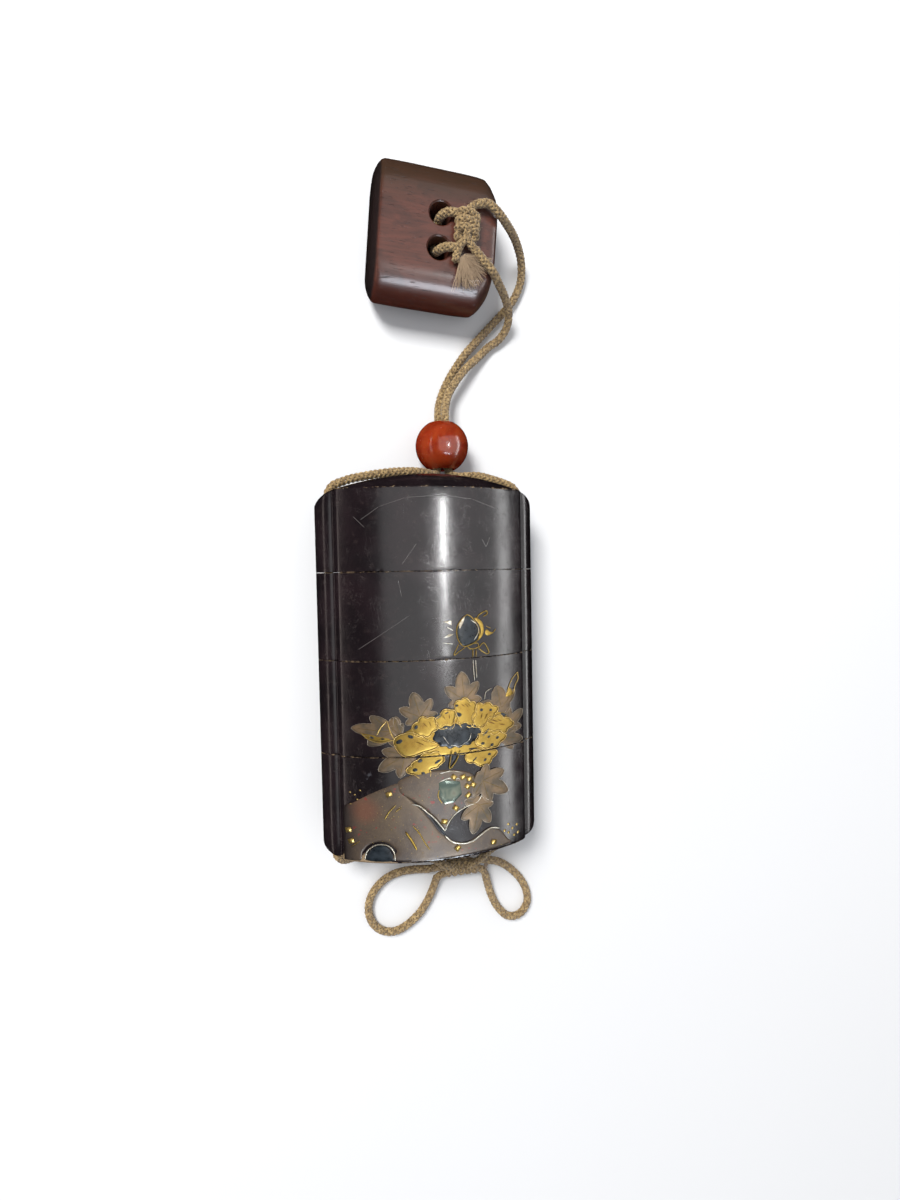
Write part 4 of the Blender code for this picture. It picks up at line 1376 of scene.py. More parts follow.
def rock_paint(colours):
    """Dark brown ground with red speckles and a dusting of gold, and painted shade near black towards the
    front's left edge.
    """
    paint = Paint("rock_ground", IOR=1.5)
    where = paint.place()
    cloud = paint.between(paint.noise(where, 160, 4.0, 0.6), 0.3, 0.72)
    powder = paint.noise(where, 4600, 2.0, 0.75)
    red = paint.between(paint.noise(where, 1150, 1.0, 0.5), 0.66, 0.70)
    reddish = red * paint.between(paint.noise(where, 210, 1.0, 0.5), 0.5, 0.6)
    brown = paint.mix(cloud, colours.rock, (0.105, 0.074, 0.046))
    left = (-0.0166, RIM_Y + 0.0115)
    brown = paint.mix(0.6 * paint.spot(left, 0.0046, 0.0040, 0.0, 0.2), brown, (0.155, 0.052, 0.028))
    dusted = paint.mix(paint.between(powder, 0.60, 0.72) * 0.5, brown, (0.30, 0.19, 0.085))
    spotted = paint.mix(0.8 * reddish, dusted, (0.20, 0.022, 0.016))
    # Painted shade: the rock turns near black towards the left edge of the front, where the panel curves
    # away from the light
    lit = paint.between(paint.part(where), -0.0212, -0.0168)
    paint.set("Metallic", 0.35 * cloud)
    colour = paint.mix(lit, (0.012, 0.008, 0.008), spotted)
    return paint.finish(colour, 0.30 + 0.3 * powder, powder * 0.000018 + cloud * 0.00005)


def silver_paint(colours):
    """Silver powder with warm tarnish in clouds."""
    paint = Paint("tarnished_silver", Metallic=0.8, IOR=1.5)
    where = paint.place()
    cloud = paint.between(paint.noise(where, 700, 3.0, 0.6), 0.35, 0.7)
    return paint.finish(paint.mix(cloud, colours.silver, (0.26, 0.21, 0.14)), 0.28 + 0.3 * cloud)


def night_paint(colours):
    """Polished blue-black lacquer."""
    paint = Paint("night_lacquer", IOR=1.36)
    where = paint.place()
    cloud = paint.between(paint.noise(where, 500, 3.0, 0.6), 0.35, 0.7)
    return paint.finish(paint.mix(cloud, colours.night, (0.016, 0.023, 0.030)), 0.24 + 0.2 * cloud)


def shell_paint():
    """Mother-of-pearl with soft bands of green and rose."""
    paint = Paint("pearl_shell", IOR=1.6)
    where = paint.place(0.4)
    band = paint.noise(where, 420, 1.0, 0.5, 0.8)
    green = paint.mix(paint.between(band, 0.35, 0.65), (0.050, 0.078, 0.062), (0.15, 0.165, 0.120))
    paint.set("Metallic", 0.3 + 0.3 * band)
    colour = paint.mix(paint.between(band, 0.6, 0.72), green, (0.13, 0.105, 0.080))
    return paint.finish(colour, 0.16 + 0.1 * band)


class INRO_OT_picture(bpy.types.Operator):
    """Lays the gold peony, its leaves and bud and the rock on the front, parted at the seams"""

    bl_idname = "inro.picture"
    bl_label = "Gold Picture"

    def execute(self, context):
        colours = context.scene.inro_picture
        relief = colours.relief / MM
        pale = [min(1.0, 1.75 * c + 0.05) for c in colours.gold]
        looks = [
            gold_paint("gold_powder", colours.gold, 0.30),
            leaf_paint(colours),
            rock_paint(colours),
            silver_paint(colours),
            night_paint(colours),
            shell_paint(),
            gold_paint("pale_gold", pale, 0.24),
            gold_paint("gold_vein", [0.5 * c for c in colours.gold], 0.4),
            # Painted shade: dark brown strokes along the petal edges and on the petals
            gold_paint("painted_shade_stroke", (0.10, 0.035, 0.014), 0.4),
            gold_paint("leaf_edge", (0.30, 0.25, 0.19), 0.35),
        ]
        strokes = [(kind, share, height, points) for kind, share, height, *points in LINES]
        strokes += [("dark", share, SHADOW_HEIGHT, points) for share, *points in SHADOWS]
        strokes += outline_strokes()
        tree = draped_lines_tree()
        meshes = [(picture_layers(relief), None)]
        for kind in ("gold", "silver", "pale", "vein", "dark", "edge"):
            index = LOOKS.index(kind)
            wanted = [stroke[1:] for stroke in strokes if stroke[0] == kind]
            source = stroke_source(kind + "_lines", wanted, colours.line)
            meshes.append((grown_mesh(kind + "_strokes", source, tree, looks[index]), index))
        index = LOOKS.index("pale")
        meshes.append((grown_mesh("flakes", flake_points(relief), flake_tree(), looks[index]), index))
        whole = joined("picture", meshes, "tone")
        gap = SEEN_GAP / 2 + RIM_WEAR
        spans = {
            "picture_on_base": (RIM_Y + 0.0003, SEAM_LOW - gap),
            "picture_on_middle_case": (SEAM_LOW + gap, SEAM_MIDDLE - gap),
            "picture_on_upper_case": (SEAM_MIDDLE + gap, SEAM_HIGH - gap),
        }
        for name, (low, high) in spans.items():
            part = part_between(whole, name, low, high)
            dress(add_piece(name, part, *looks), "lacquer")
        return {"FINISHED"}


# Bead and toggle

BEAD_STEPS = 72
BEAD_SIDES = 144
BEAD_LIP = 0.0001
HOLE_SIDES = 48
LINK_SIDES = 32
LINK_SHARE = 0.94


class INRO_OT_bead(bpy.types.Operator):
    """Turns the carnelian bead with its bore"""

    bl_idname = "inro.bead"
    bl_label = "Carnelian Bead"

    def execute(self, context):
        bore = BEAD_BORE / 2
        start = math.asin(BEAD_MOUTH / 2 / BEAD_RADIUS)
        end = BEAD_RADIUS * math.cos(start)
        stations = []
        for i in range(BEAD_STEPS + 1):
            angle = start + (math.pi - 2 * start) * i / BEAD_STEPS
            stations.append((BEAD_RADIUS * math.cos(angle), BEAD_RADIUS * math.sin(angle)))
        stations += [(0.0006 - end, bore + BEAD_LIP), (0.0015 - end, bore)]
        stations += [(end - 0.0015, bore), (end - 0.0006, bore + BEAD_LIP)]
        places = [(BEAD_CENTRE + Vector((0, y, 0)), radius) for y, radius in stations]
        rings = [circle(place, radius, "Y", BEAD_SIDES) for place, radius in places]
        mesh = loft_mesh("carnelian_bead", rings, 40, True)
        look = bead_paint(context.scene.inro_bead)
        dress(add_piece("carnelian_bead", mesh, look), "carnelian", "ojime_bead")
        return {"FINISHED"}


def bead_paint(colours):
    """Clear orange-red stone with cloudy bands and small pits."""
    paint = Paint(
        "carnelian", IOR=1.54, Subsurface_Weight=0.55, Subsurface_Scale=0.0030,
        Subsurface_Radius=(1.0, 0.22, 0.06), Coat_Weight=0.15, Coat_Roughness=0.08,
    )
    where = paint.place(0.5, (1, 1, 1), tuple(BEAD_CENTRE))
    cloud = paint.noise(where, 160, 3.0, 0.6, 0.6)
    deep = paint.between(cloud, 0.40, 0.64)
    vein = paint.between(paint.noise(where, 480, 3.0, 0.6), 0.55, 0.7)
    stone = paint.mix(deep, colours.bright, colours.deep)
    colour = paint.mix(0.12 * vein, stone, (0.40, 0.08, 0.02))
    pits = paint.between(paint.noise(where, 2100, 1.0, 0.5), 0.70, 0.78)
    return paint.finish(colour, 0.15 + 0.3 * pits + 0.08 * cloud, 0.00002 * cloud - 0.00003 * pits)


def rounded_oblong(x, half_width, half_height, edge, steps=14, flats=8):
    """Section across the netsuke as a ring in its YZ plane, flat below and above."""
    corners = ((1, 1, 0), (-1, 1, 90), (-1, -1, 180), (1, -1, 270))
    arcs = []
    for side_y, side_z, turn in corners:
        arc = []
        for i in range(steps + 1):
            angle = math.radians(turn + 90 * i / steps)
            y = side_y * (half_width - edge) + edge * math.cos(angle)
            z = side_z * (half_height - edge) + edge * math.sin(angle)
            arc.append(Vector((x, y, z)))
        arcs.append(arc)
    made = []
    for arc, after in zip(arcs, arcs[1:] + arcs[:1]):
        made += arc
        made += [arc[-1].lerp(after[0], i / flats) for i in range(1, flats)]
    return made


def toggle_frame():
    """Matrix from the middle of the netsuke's face to the row's frame."""
    y = LID_TOP + NETSUKE_FROM_LID
    return Matrix.Translation((NETSUKE_X, y, NETSUKE_THICKNESS)) @ Matrix.Rotation(NETSUKE_TURN, 4, "Z")


class INRO_OT_toggle(bpy.types.Operator):
    """Shapes the wooden netsuke with its two joined cord holes"""

    bl_idname = "inro.toggle"
    bl_label = "Wooden Netsuke"

    def execute(self, context):
        half = NETSUKE_LENGTH / 2
        wide = NETSUKE_WIDTH / 2
        thick = NETSUKE_THICKNESS / 2
        stations = (
            (-half, wide - 0.0034, thick - 0.0030),
            (-half + 0.0003, wide - 0.0024, thick - 0.0019),
            (-half + 0.0009, wide - 0.0012, thick - 0.0008),
            (-half + 0.0014, wide - 0.0006, thick - 0.00022),
            (-half + 0.0018, wide - 0.0003, thick - 0.00004),
            (-half + 0.0030, wide - 0.0001, thick),
            (-half * 0.4, wide, thick),
            (0.0, wide, thick),
            (half * 0.4, wide, thick),
            (half - 0.0040, wide - 0.0002, thick),
            (half - 0.0028, wide - 0.0008, thick - 0.00006),
            (half - 0.0018, wide - 0.0018, thick - 0.0002),
            (half - 0.0010, wide - 0.0030, thick - 0.00045),
            (half - 0.0004, wide - 0.0042, thick - 0.0008),
            (half, wide - 0.0060, thick - 0.0016),
        )
        middle = toggle_frame() @ Matrix.Translation((0, 0, -thick))
        block = middle @ Matrix.Translation(NETSUKE_SHIFT)
        rings = []
        for x, w, t in smooth_route(stations, 0.00032):
            t = min(t, thick)
            ring = rounded_oblong(x, min(w, wide), t, min(NETSUKE_EDGE, 0.98 * t))
            rings.append([block @ point for point in ring])
        cutters = []
        floor_z = thick - HOLE_DEPTH
        for name, side in (("hole_near", -1), ("hole_far", 1)):
            y = side * HOLE_SPACING / 2
            levels = (
                (floor_z, HOLE_RADIUS - 0.0002),
                (thick - 0.0009, HOLE_RADIUS),
                (thick - 0.0003, HOLE_RADIUS + 0.00012),
                (thick - 0.00005, HOLE_RADIUS + 0.0004),
                (thick + 0.001, HOLE_RADIUS + 0.0010),
            )
            cutter = [[middle @ p for p in circle((HOLE_X, y, z), r, "Z", HOLE_SIDES)] for z, r in levels]
            cutters.append(loft_mesh(name, cutter))
        link_z = floor_z + HOLE_RADIUS
        ends = [(HOLE_X, side * HOLE_SPACING / 2, link_z) for side in (-1, 1)]
        link = [circle(end, LINK_SHARE * HOLE_RADIUS, "Y", LINK_SIDES) for end in ends]
        cutters.append(loft_mesh("hole_link", [[middle @ p for p in ring] for ring in link]))
        mesh = cut_mesh(loft_mesh("netsuke_wood", rings), cutters)
        look = wood_paint(context.scene.inro_wood)
        dress(add_piece("netsuke_wood", mesh, look), "rosewood", "netsuke")
        return {"FINISHED"}


def wood_paint(colours):
    """Polished rosewood: wavy grain along its width and dark pores, with painted shade on the rounded top
    and underside and a left end painted near black as shade.
    """
    paint = Paint("rosewood", IOR=1.42, Coat_Roughness=0.16)
    centre = toggle_frame().translation
    along = paint.place(NETSUKE_TURN, (0.09, 1.0, 1.0), tuple(centre))
    plain = paint.place(NETSUKE_TURN, (1.0, 1.0, 1.0), tuple(centre))
    drawn_out = paint.place(NETSUKE_TURN, (0.5, 1.0, 1.0), tuple(centre))
    sway = paint.noise(plain, 75, 2.0, 0.5)
    patch = paint.between(paint.noise(drawn_out, 230, 4.0, 0.65, 0.6), 0.45, 0.62)
    grain = paint.noise(along, 900, 4.0, 0.65, 1.4)
    fine = paint.noise(along, 3800, 2.0, 0.6)
    figure = paint.between(paint.noise(along, 240, 3.0, 0.6, 2.5), 0.38, 0.62)
    body = paint.mix(0.15 + 0.45 * figure, colours.light, colours.dark)
    streaked = paint.mix(paint.between(grain, 0.48, 0.66) * 0.5, body, colours.dark)
    reddened = paint.mix(0.3 * sway, streaked, (0.125, 0.036, 0.019))
    side_x = paint.part(plain)
    side_y = paint.part(plain, 1)
    reddened = paint.mix(0.45 * patch, reddened, (0.030, 0.014, 0.011))
    # Painted shade: the rounded top edge turns darker brown-grey as it curves away from the light
    upper = paint.between(side_y + 0.006 * sway, 0.0065, 0.0150)
    reddened = paint.mix(0.8 * upper, reddened, (0.040, 0.024, 0.013))
    # Painted shade: the underside, which curves away from the light, turns a deeper, darker red-brown
    lower = 1.0 - paint.between(side_y, -0.0142, -0.0118)
    reddened = paint.mix(0.8 * lower, reddened, (0.095, 0.016, 0.006))
    # Painted shade: the flat left end, which faces away from the light, is painted near black; it is also
    # made rougher and left without coat
    painted_end_shade = 1.0 - paint.between(side_x, -0.0134, -0.0128)
    reddened = paint.mix(0.92 * painted_end_shade, reddened, (0.009, 0.006, 0.006))
    pores = paint.between(fine, 0.62, 0.7)
    paint.set("Coat Weight", (0.25 - 0.2 * pores) * (1.0 - painted_end_shade))
    colour = paint.mix(0.6 * pores, reddened, (0.02, 0.009, 0.008))
    roughness = 0.27 + 0.16 * grain + 0.2 * pores + 0.2 * painted_end_shade
    return paint.finish(colour, roughness, 0.00001 * grain - 0.00003 * pores + 0.00006 * sway)


# Cords: the routes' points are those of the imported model's source, in metres from the base's rim

STEP = 0.00024
STRANDS = 8
WEAVE = 0.00008
FUZZ = (1.0, 90000.0, 0.0007)
KNOT_FUZZ = (0.92, 900000.0, 0.0012)
FREE_LEFT = [
    (0.0125, 0.1438, 0.0157), (0.0147, 0.1440, 0.0158), (0.0165, 0.1430, 0.0155),
    (0.0179, 0.1422, 0.0148), (0.0195, 0.1418, 0.0131), (0.0215, 0.1415, 0.0106),
    (0.0234, 0.1410, 0.0081), (0.0251, 0.1400, 0.0057), (0.0264, 0.1384, 0.0038),
    (0.0271, 0.1365, 0.0024), (0.0272, 0.1342, 0.0015), (0.0264, 0.1316, 0.0012),
    (0.0249, 0.1289, 0.0012), (0.0227, 0.1263, 0.0012), (0.0199, 0.1233, 0.0012),
    (0.0163, 0.1195, 0.0012), (0.0130, 0.1159, 0.0012), (0.0105, 0.1125, 0.0012),
    (0.0083, 0.1090, 0.0012), (0.0065, 0.1052, 0.0014), (0.0053, 0.1017, 0.0029),
    (0.0047, 0.0982, 0.0049), (0.0042, 0.0934, 0.0056), (0.0040, 0.0886, 0.0062),
    (0.0039, 0.0868, 0.0063), (0.0034, 0.0856, 0.0068), (0.0022, 0.0852, 0.0080),
    (0.0001, 0.0854, 0.0096), (-0.0040, 0.0854, 0.0109), (-0.0095, 0.0849, 0.0113),
]
FREE_RIGHT = [
    (0.0115, 0.1338, 0.0156), (0.0125, 0.1327, 0.0155), (0.0138, 0.1314, 0.0154),
    (0.0151, 0.1302, 0.0152), (0.0165, 0.1292, 0.0141), (0.0180, 0.1284, 0.0120),
    (0.0196, 0.1277, 0.0098), (0.0210, 0.1268, 0.0078), (0.0222, 0.1256, 0.0060),
    (0.0229, 0.1243, 0.0044), (0.0231, 0.1228, 0.0030), (0.0225, 0.1210, 0.0019),
    (0.0209, 0.1191, 0.0013), (0.0186, 0.1175, 0.0012), (0.0156, 0.1146, 0.0018),
    (0.0125, 0.1117, 0.0029), (0.0101, 0.1088, 0.0034), (0.0078, 0.1052, 0.0036),
    (0.0065, 0.1017, 0.0053), (0.0059, 0.0982, 0.0071), (0.0061, 0.0934, 0.0070),
    (0.0064, 0.0886, 0.0062), (0.0065, 0.0868, 0.0063), (0.0070, 0.0856, 0.0067),
    (0.0083, 0.0848, 0.0080), (0.0103, 0.08465, 0.0098), (0.0128, 0.0845, 0.0110),
]
UNDER_LEFT = [
    (-0.0213, -0.0022, 0.0101), (-0.0200, -0.0033, 0.0085), (-0.0179, -0.0038, 0.0067),
    (-0.0150, -0.0041, 0.0054), (-0.0110, -0.0044, 0.0046), (-0.0060, -0.0049, 0.0044),
    (-0.0016, -0.0059, 0.0049), (0.0014, -0.0071, 0.0056), (0.0034, -0.0083, 0.0062),
]
UNDER_RIGHT = [
    (0.0213, -0.0022, 0.0101), (0.0199, -0.0034, 0.0086), (0.0178, -0.0043, 0.0073),
    (0.0154, -0.0058, 0.0067), (0.0131, -0.0078, 0.0065),
]
LOOP_LEFT = [
    (0.0004, -0.0102, 0.0037), (-0.0029, -0.0104, 0.0026), (-0.0063, -0.0110, 0.0016),
    (-0.0095, -0.0122, 0.0012), (-0.0122, -0.0143, 0.0012), (-0.0139, -0.0171, 0.0012),
    (-0.0143, -0.0202, 0.0012), (-0.0133, -0.0232, 0.0012), (-0.0110, -0.0253, 0.0012),
    (-0.0079, -0.0259, 0.0012), (-0.0048, -0.0247, 0.0012), (-0.0018, -0.0223, 0.0012),
    (0.0004, -0.0192, 0.0013), (0.0018, -0.0159, 0.0018), (0.0026, -0.0129, 0.0028),
]
LOOP_RIGHT = [
    (0.0155, -0.0098, 0.0035), (0.0189, -0.0113, 0.0023), (0.0222, -0.0139, 0.0014),
    (0.0249, -0.0170, 0.0012), (0.0264, -0.0203, 0.0012), (0.0265, -0.0235, 0.0012),
    (0.0244, -0.0261, 0.0012), (0.0212, -0.0261, 0.0012), (0.0185, -0.0233, 0.0012),
    (0.0168, -0.0198, 0.0015), (0.0157, -0.0163, 0.0022), (0.0149, -0.0134, 0.0031),
]


def strand_route(side, free_part, under):
    """A strand's free part, then over the lid's end, down its tunnel and under the base."""
    x = side * TUNNEL_X
    over = LID_RIM + LID_DOME + CORD_DIAMETER / 2
    lid_part = [
        (side * 0.0158, over - 0.0014, MIDDLE_Z + 0.0002),
        (side * 0.0186, over - 0.0022, MIDDLE_Z),
        (side * 0.0207, over - 0.0031, MIDDLE_Z),
        (side * 0.0218, over - 0.0046, MIDDLE_Z),
        (x, over - 0.0066, MIDDLE_Z),
        (x, over - 0.0090, MIDDLE_Z),
    ]
    down = [(x, LID_RIM * share, MIDDLE_Z) for share in (0.75, 0.5, 0.25)]
    out = [(x, 0.0035, MIDDLE_Z), (x, -0.0004, MIDDLE_Z)]
    return free_part + lid_part + down + out + under


def in_row(points):
    """Points given from the base's rim, in the row's frame."""
    return [Vector((x, y + RIM_Y, z)) for x, y, z in points]


def braid_tree():
    """Tree that winds eight strands, four each way, over and under one another along a line."""
    sizes = {"Strand_Radius": 0.0003, "Braid_Radius": 0.0006, "Weave_Depth": 0.0001, "Pitch": 0.004}
    grow = Grower("braided_cord", **sizes)
    path = grow.node("GeometryNodeSetCurveNormal", {"mode": "MINIMUM_TWIST"}, {"Curve": grow.lines()})
    inputs = {"Geometry": path, "Amount": STRANDS}
    copies = grow.node("GeometryNodeDuplicateElements", {"domain": "SPLINE"}, inputs)
    number = Signal(grow, copies.socket.node.outputs["Duplicate Index"])
    way = 1.0 - 2.0 * grow.maths("MODULO", number, 2.0)
    pair = grow.maths("FLOOR", number / 2.0)
    length = grow.node("GeometryNodeSplineParameter", output=1)
    angle = way * length * (2 * math.pi) / grow.value("Pitch") + pair * (math.pi / 2)
    ripple = grow.maths("COSINE", angle * 4.0)
    reach = grow.value("Braid_Radius") + way * ripple * grow.value("Weave_Depth")
    normal = grow.node("GeometryNodeInputNormal")
    across = grow.vector("CROSS_PRODUCT", grow.node("GeometryNodeInputTangent"), normal)
    first = grow.scaled(normal, reach * grow.maths("COSINE", angle))
    second = grow.scaled(across, reach * grow.maths("SINE", angle))
    inputs = {"Geometry": copies, "Offset": grow.vector("ADD", first, second)}
    wound = grow.node("GeometryNodeSetPosition", None, inputs)
    marked = grow.stored(wound, "along", length + number * 0.37)
    # How far each strand lies beneath its neighbour, read by the cord's painted shade
    marked = grow.stored(marked, "under", 0.5 - 0.5 * way * ripple)
    ring = grow.stored(grow.ring(7), "around", grow.part(grow.node("GeometryNodeInputPosition")))
    return grow.finish(grow.swept(marked, ring, grow.value("Strand_Radius")))


def fuzz_tree():
    """Tree that stands short bent hairs on a tube round each line."""
    sizes = {"Core_Radius": 0.0009, "Density": 200000.0, "Hair": 0.0009, "Thickness": 0.000012}
    grow = Grower("cord_fuzz", **sizes, Seed=3)
    tube = grow.swept(grow.lines(), grow.ring(8), grow.value("Core_Radius"), False)
    seed = grow.value("Seed")
    inputs = {"Mesh": tube, "Density": grow.value("Density"), "Seed": seed}
    spread = grow.node("GeometryNodeDistributePointsOnFaces", {"distribute_method": "RANDOM"}, inputs)
    inputs = {"Resolution": 4, "Start": (0, 0, 0), "Middle": (0.25, 0, 0.35), "End": (0.75, 0.1, 0.45)}
    hair = grow.node("GeometryNodeCurveQuadraticBezier", None, inputs)
    body = grow.swept(hair, grow.ring(3), grow.value("Thickness") / grow.value("Hair"), False)
    facing = Signal(grow, spread.socket.node.outputs["Rotation"])
    inputs = {"Rotation": facing, "Rotate By": grow.spin(0.0, 2 * math.pi)}
    turned = grow.node("FunctionNodeRotateRotation", {"rotation_space": "LOCAL"}, inputs)
    size = grow.chance(0.4, 1.2, seed + 1.0) * grow.value("Hair")
    return grow.finish(grow.copies(spread, body, turned, size))


def cord_paint(name, light, dark):
    """Fibre: streaks along each strand, darker between the strands as painted shade where they pass beneath
    one another, and soiled in places.
    """
    paint = Paint(name, Sheen_Weight=0.25, Sheen_Roughness=0.5, IOR=1.45)
    along = paint.attribute("along")
    around = paint.attribute("around")
    lay = paint.node("ShaderNodeCombineXYZ", None, {"X": along * 500.0, "Y": around * 5.0})
    fibre = paint.noise(lay, 1.0, 2.0, 0.6, 0.3)
    where = paint.place()
    soil = paint.between(paint.noise(where, 190, 3.0, 0.6), 0.35, 0.75)
    speck = paint.noise(where, 3400, 2.0, 0.7)
    tan = paint.mix(paint.between(fibre, 0.3, 0.7), dark, light)
    # Painted shade: strands darken where they pass beneath the crossing strands
    painted_crossing_shade = paint.between(paint.attribute("under"), 0.30, 0.95)
    tan = paint.mix(0.65 * painted_crossing_shade, tan, (0.060, 0.032, 0.013))
    soiled = paint.mix(0.30 * soil, tan, (0.26, 0.165, 0.075))
    colour = paint.mix(paint.between(speck, 0.62, 0.75) * 0.2, soiled, (0.62, 0.47, 0.27))
    return paint.finish(colour, 0.78 + 0.15 * fibre, 0.00005 * fibre + 0.00002 * speck)


def braided(name, points, look, colours, fluff=FUZZ):
    """Mesh of one braided cord along points in the row's frame; fluff has its size and hairs."""
    shrink, fuzz, hair = fluff
    route = smooth_route(points, STEP)
    weave = WEAVE * shrink
    strand = colours.strand * shrink
    reach = colours.diameter / 2 * shrink - strand - weave
    source = line_mesh(name + "_route", [[(point, 1.0) for point in route]])
    sizes = {"Strand_Radius": strand, "Braid_Radius": reach, "Weave_Depth": weave, "Pitch": colours.pitch}
    cord = grown_mesh(name + "_braid", source, bpy.data.node_groups["braided_cord"], look, **sizes)
    coarse = smooth_route(points, 4 * STEP)
    source = line_mesh(name + "_core", [[(point, 1.0) for point in coarse]])
    sizes = {"Core_Radius": reach + 0.5 * strand, "Density": fuzz, "Hair": hair}
    hairs = grown_mesh(name + "_hairs", source, bpy.data.node_groups["cord_fuzz"], look, **sizes)
    return joined(name, [(cord, None), (hairs, None)]), route


class INRO_OT_cords(bpy.types.Operator):
    """Braids the cord from the netsuke through the bead, down both sides and into the bow's loops"""

    bl_idname = "inro.cords"
    bl_label = "Braided Cord"

    def execute(self, context):
        colours = context.scene.inro_cord
        look = cord_paint("cord_fibre", colours.light, colours.dark)
        braid_tree()
        fuzz_tree()
        routes = {
            "cord_left": strand_route(-1, FREE_LEFT, UNDER_LEFT),
            "cord_right": strand_route(1, FREE_RIGHT, UNDER_RIGHT),
            "loop_left": LOOP_LEFT,
            "loop_right": LOOP_RIGHT,
        }
        knots = make_knots(look, colours)
        for node, points in routes.items():
            mesh, path = braided(node + "_braid", in_row(points), look, colours)
            piece = dress(add_piece(node + "_braid", mesh, look), "cord", node)
            length = sum((b - a).length for a, b in zip(path, path[1:]))
        return {"FINISHED"}


# Knots: points in mm from the middle of the netsuke's face, and from the base's rim

LOOP_ABOVE = 0.0003 + CORD_DIAMETER / 2
LOOSE_WIDTH = 0.000035
LOOSE_STEPS = 4


def on_toggle(points):
    """Points in mm from the middle of the netsuke's face, in the row's frame."""
    place = toggle_frame()
    return [place @ (Vector(point) * MM) for point in points]


def netsuke_loop_points():
    """The bight that goes down one hole of the netsuke and up the other."""
    above = LOOP_ABOVE / MM
    low = (HOLE_RADIUS - HOLE_DEPTH) / MM
    y = HOLE_SPACING / 2 / MM
    x = HOLE_X / MM
    half = [
        (x + 2.9, y, above),
        (x + 1.6, y, 0.75 * above),
        (x + 0.6, y, -0.15 * above),
        (x, y - 0.2, 0.4 * low),
        (x, y * 0.6, 0.86 * low),
    ]
    return [(a, -b, c) for a, b, c in half] + [(x, 0, low)] + half[::-1]


def turns(centre, along, radius_x, radius_z, length, count, lean=0.0, start=0.0):
    """Points of cord turns wound round an axis along Y or X, in mm."""
    made = []
    steps = int(10 * count)
    for i in range(steps + 1):
        angle = start + 2 * math.pi * count * i / steps
        run = -length / 2 + length * i / steps + lean * math.sin(angle)
        a = radius_x * math.cos(angle)
        b = radius_z * math.sin(angle)
        offset = (a, run, b) if along == "Y" else (run, a, b)
        made.append(tuple(c + o for c, o in zip(centre, offset)))
    return made


def frayed(name, root, towards, length, spread, count, seed, look):
    """A tuft of loose fibres fanning out from a cut end, low over what it lies on."""
    rolls = random.Random(seed)
    lines = []
    rest = NETSUKE_THICKNESS if root.z > 0.01 else 0.0003
    side = Vector((-towards.y, towards.x, 0)).normalized()
    for number in range(count):
        swing = rolls.uniform(-spread, spread)
        reach = length * rolls.uniform(0.45, 1.0)
        start = root + side * rolls.uniform(-0.0007, 0.0007)
        start += Vector((0, 0, rolls.uniform(-0.0005, 0.0007)))
        direction = (towards.normalized() + side * math.tan(swing)).normalized()
        droop = rolls.uniform(0.2, 1.0) * (root.z - rest)
        points = []
        for i in range(LOOSE_STEPS + 1):
            t = i / LOOSE_STEPS
            wobble = Vector([rolls.uniform(-1, 1) * 0.00012 * t for axis in range(3)])
            points.append(start + direction * reach * t - Vector((0, 0, droop * t * t * 0.8)) + wobble)
        lines.append([(point, LOOSE_WIDTH) for point in points])
    source = line_mesh(name, lines)
    return grown_mesh(name, source, fibre_tree(), look)


def fibre_tree():
    """Tree that gives each line a thin round body."""
    grow = Grower("loose_fibres")
    return grow.finish(grow.swept(grow.lines(), grow.ring(3), grow.named("width")))


def knot_piece(name, node, parts, tuft, looks, colours):
    """A knot's piece: short braided lengths and a frayed end, in the cord's look and the tuft's."""
    meshes = [(braided(key, parts[key], looks[0], colours, KNOT_FUZZ)[0], None) for key in parts]
    meshes.append((tuft, 1))
    return dress(add_piece(name, joined(name, meshes), *looks), "cord", node)


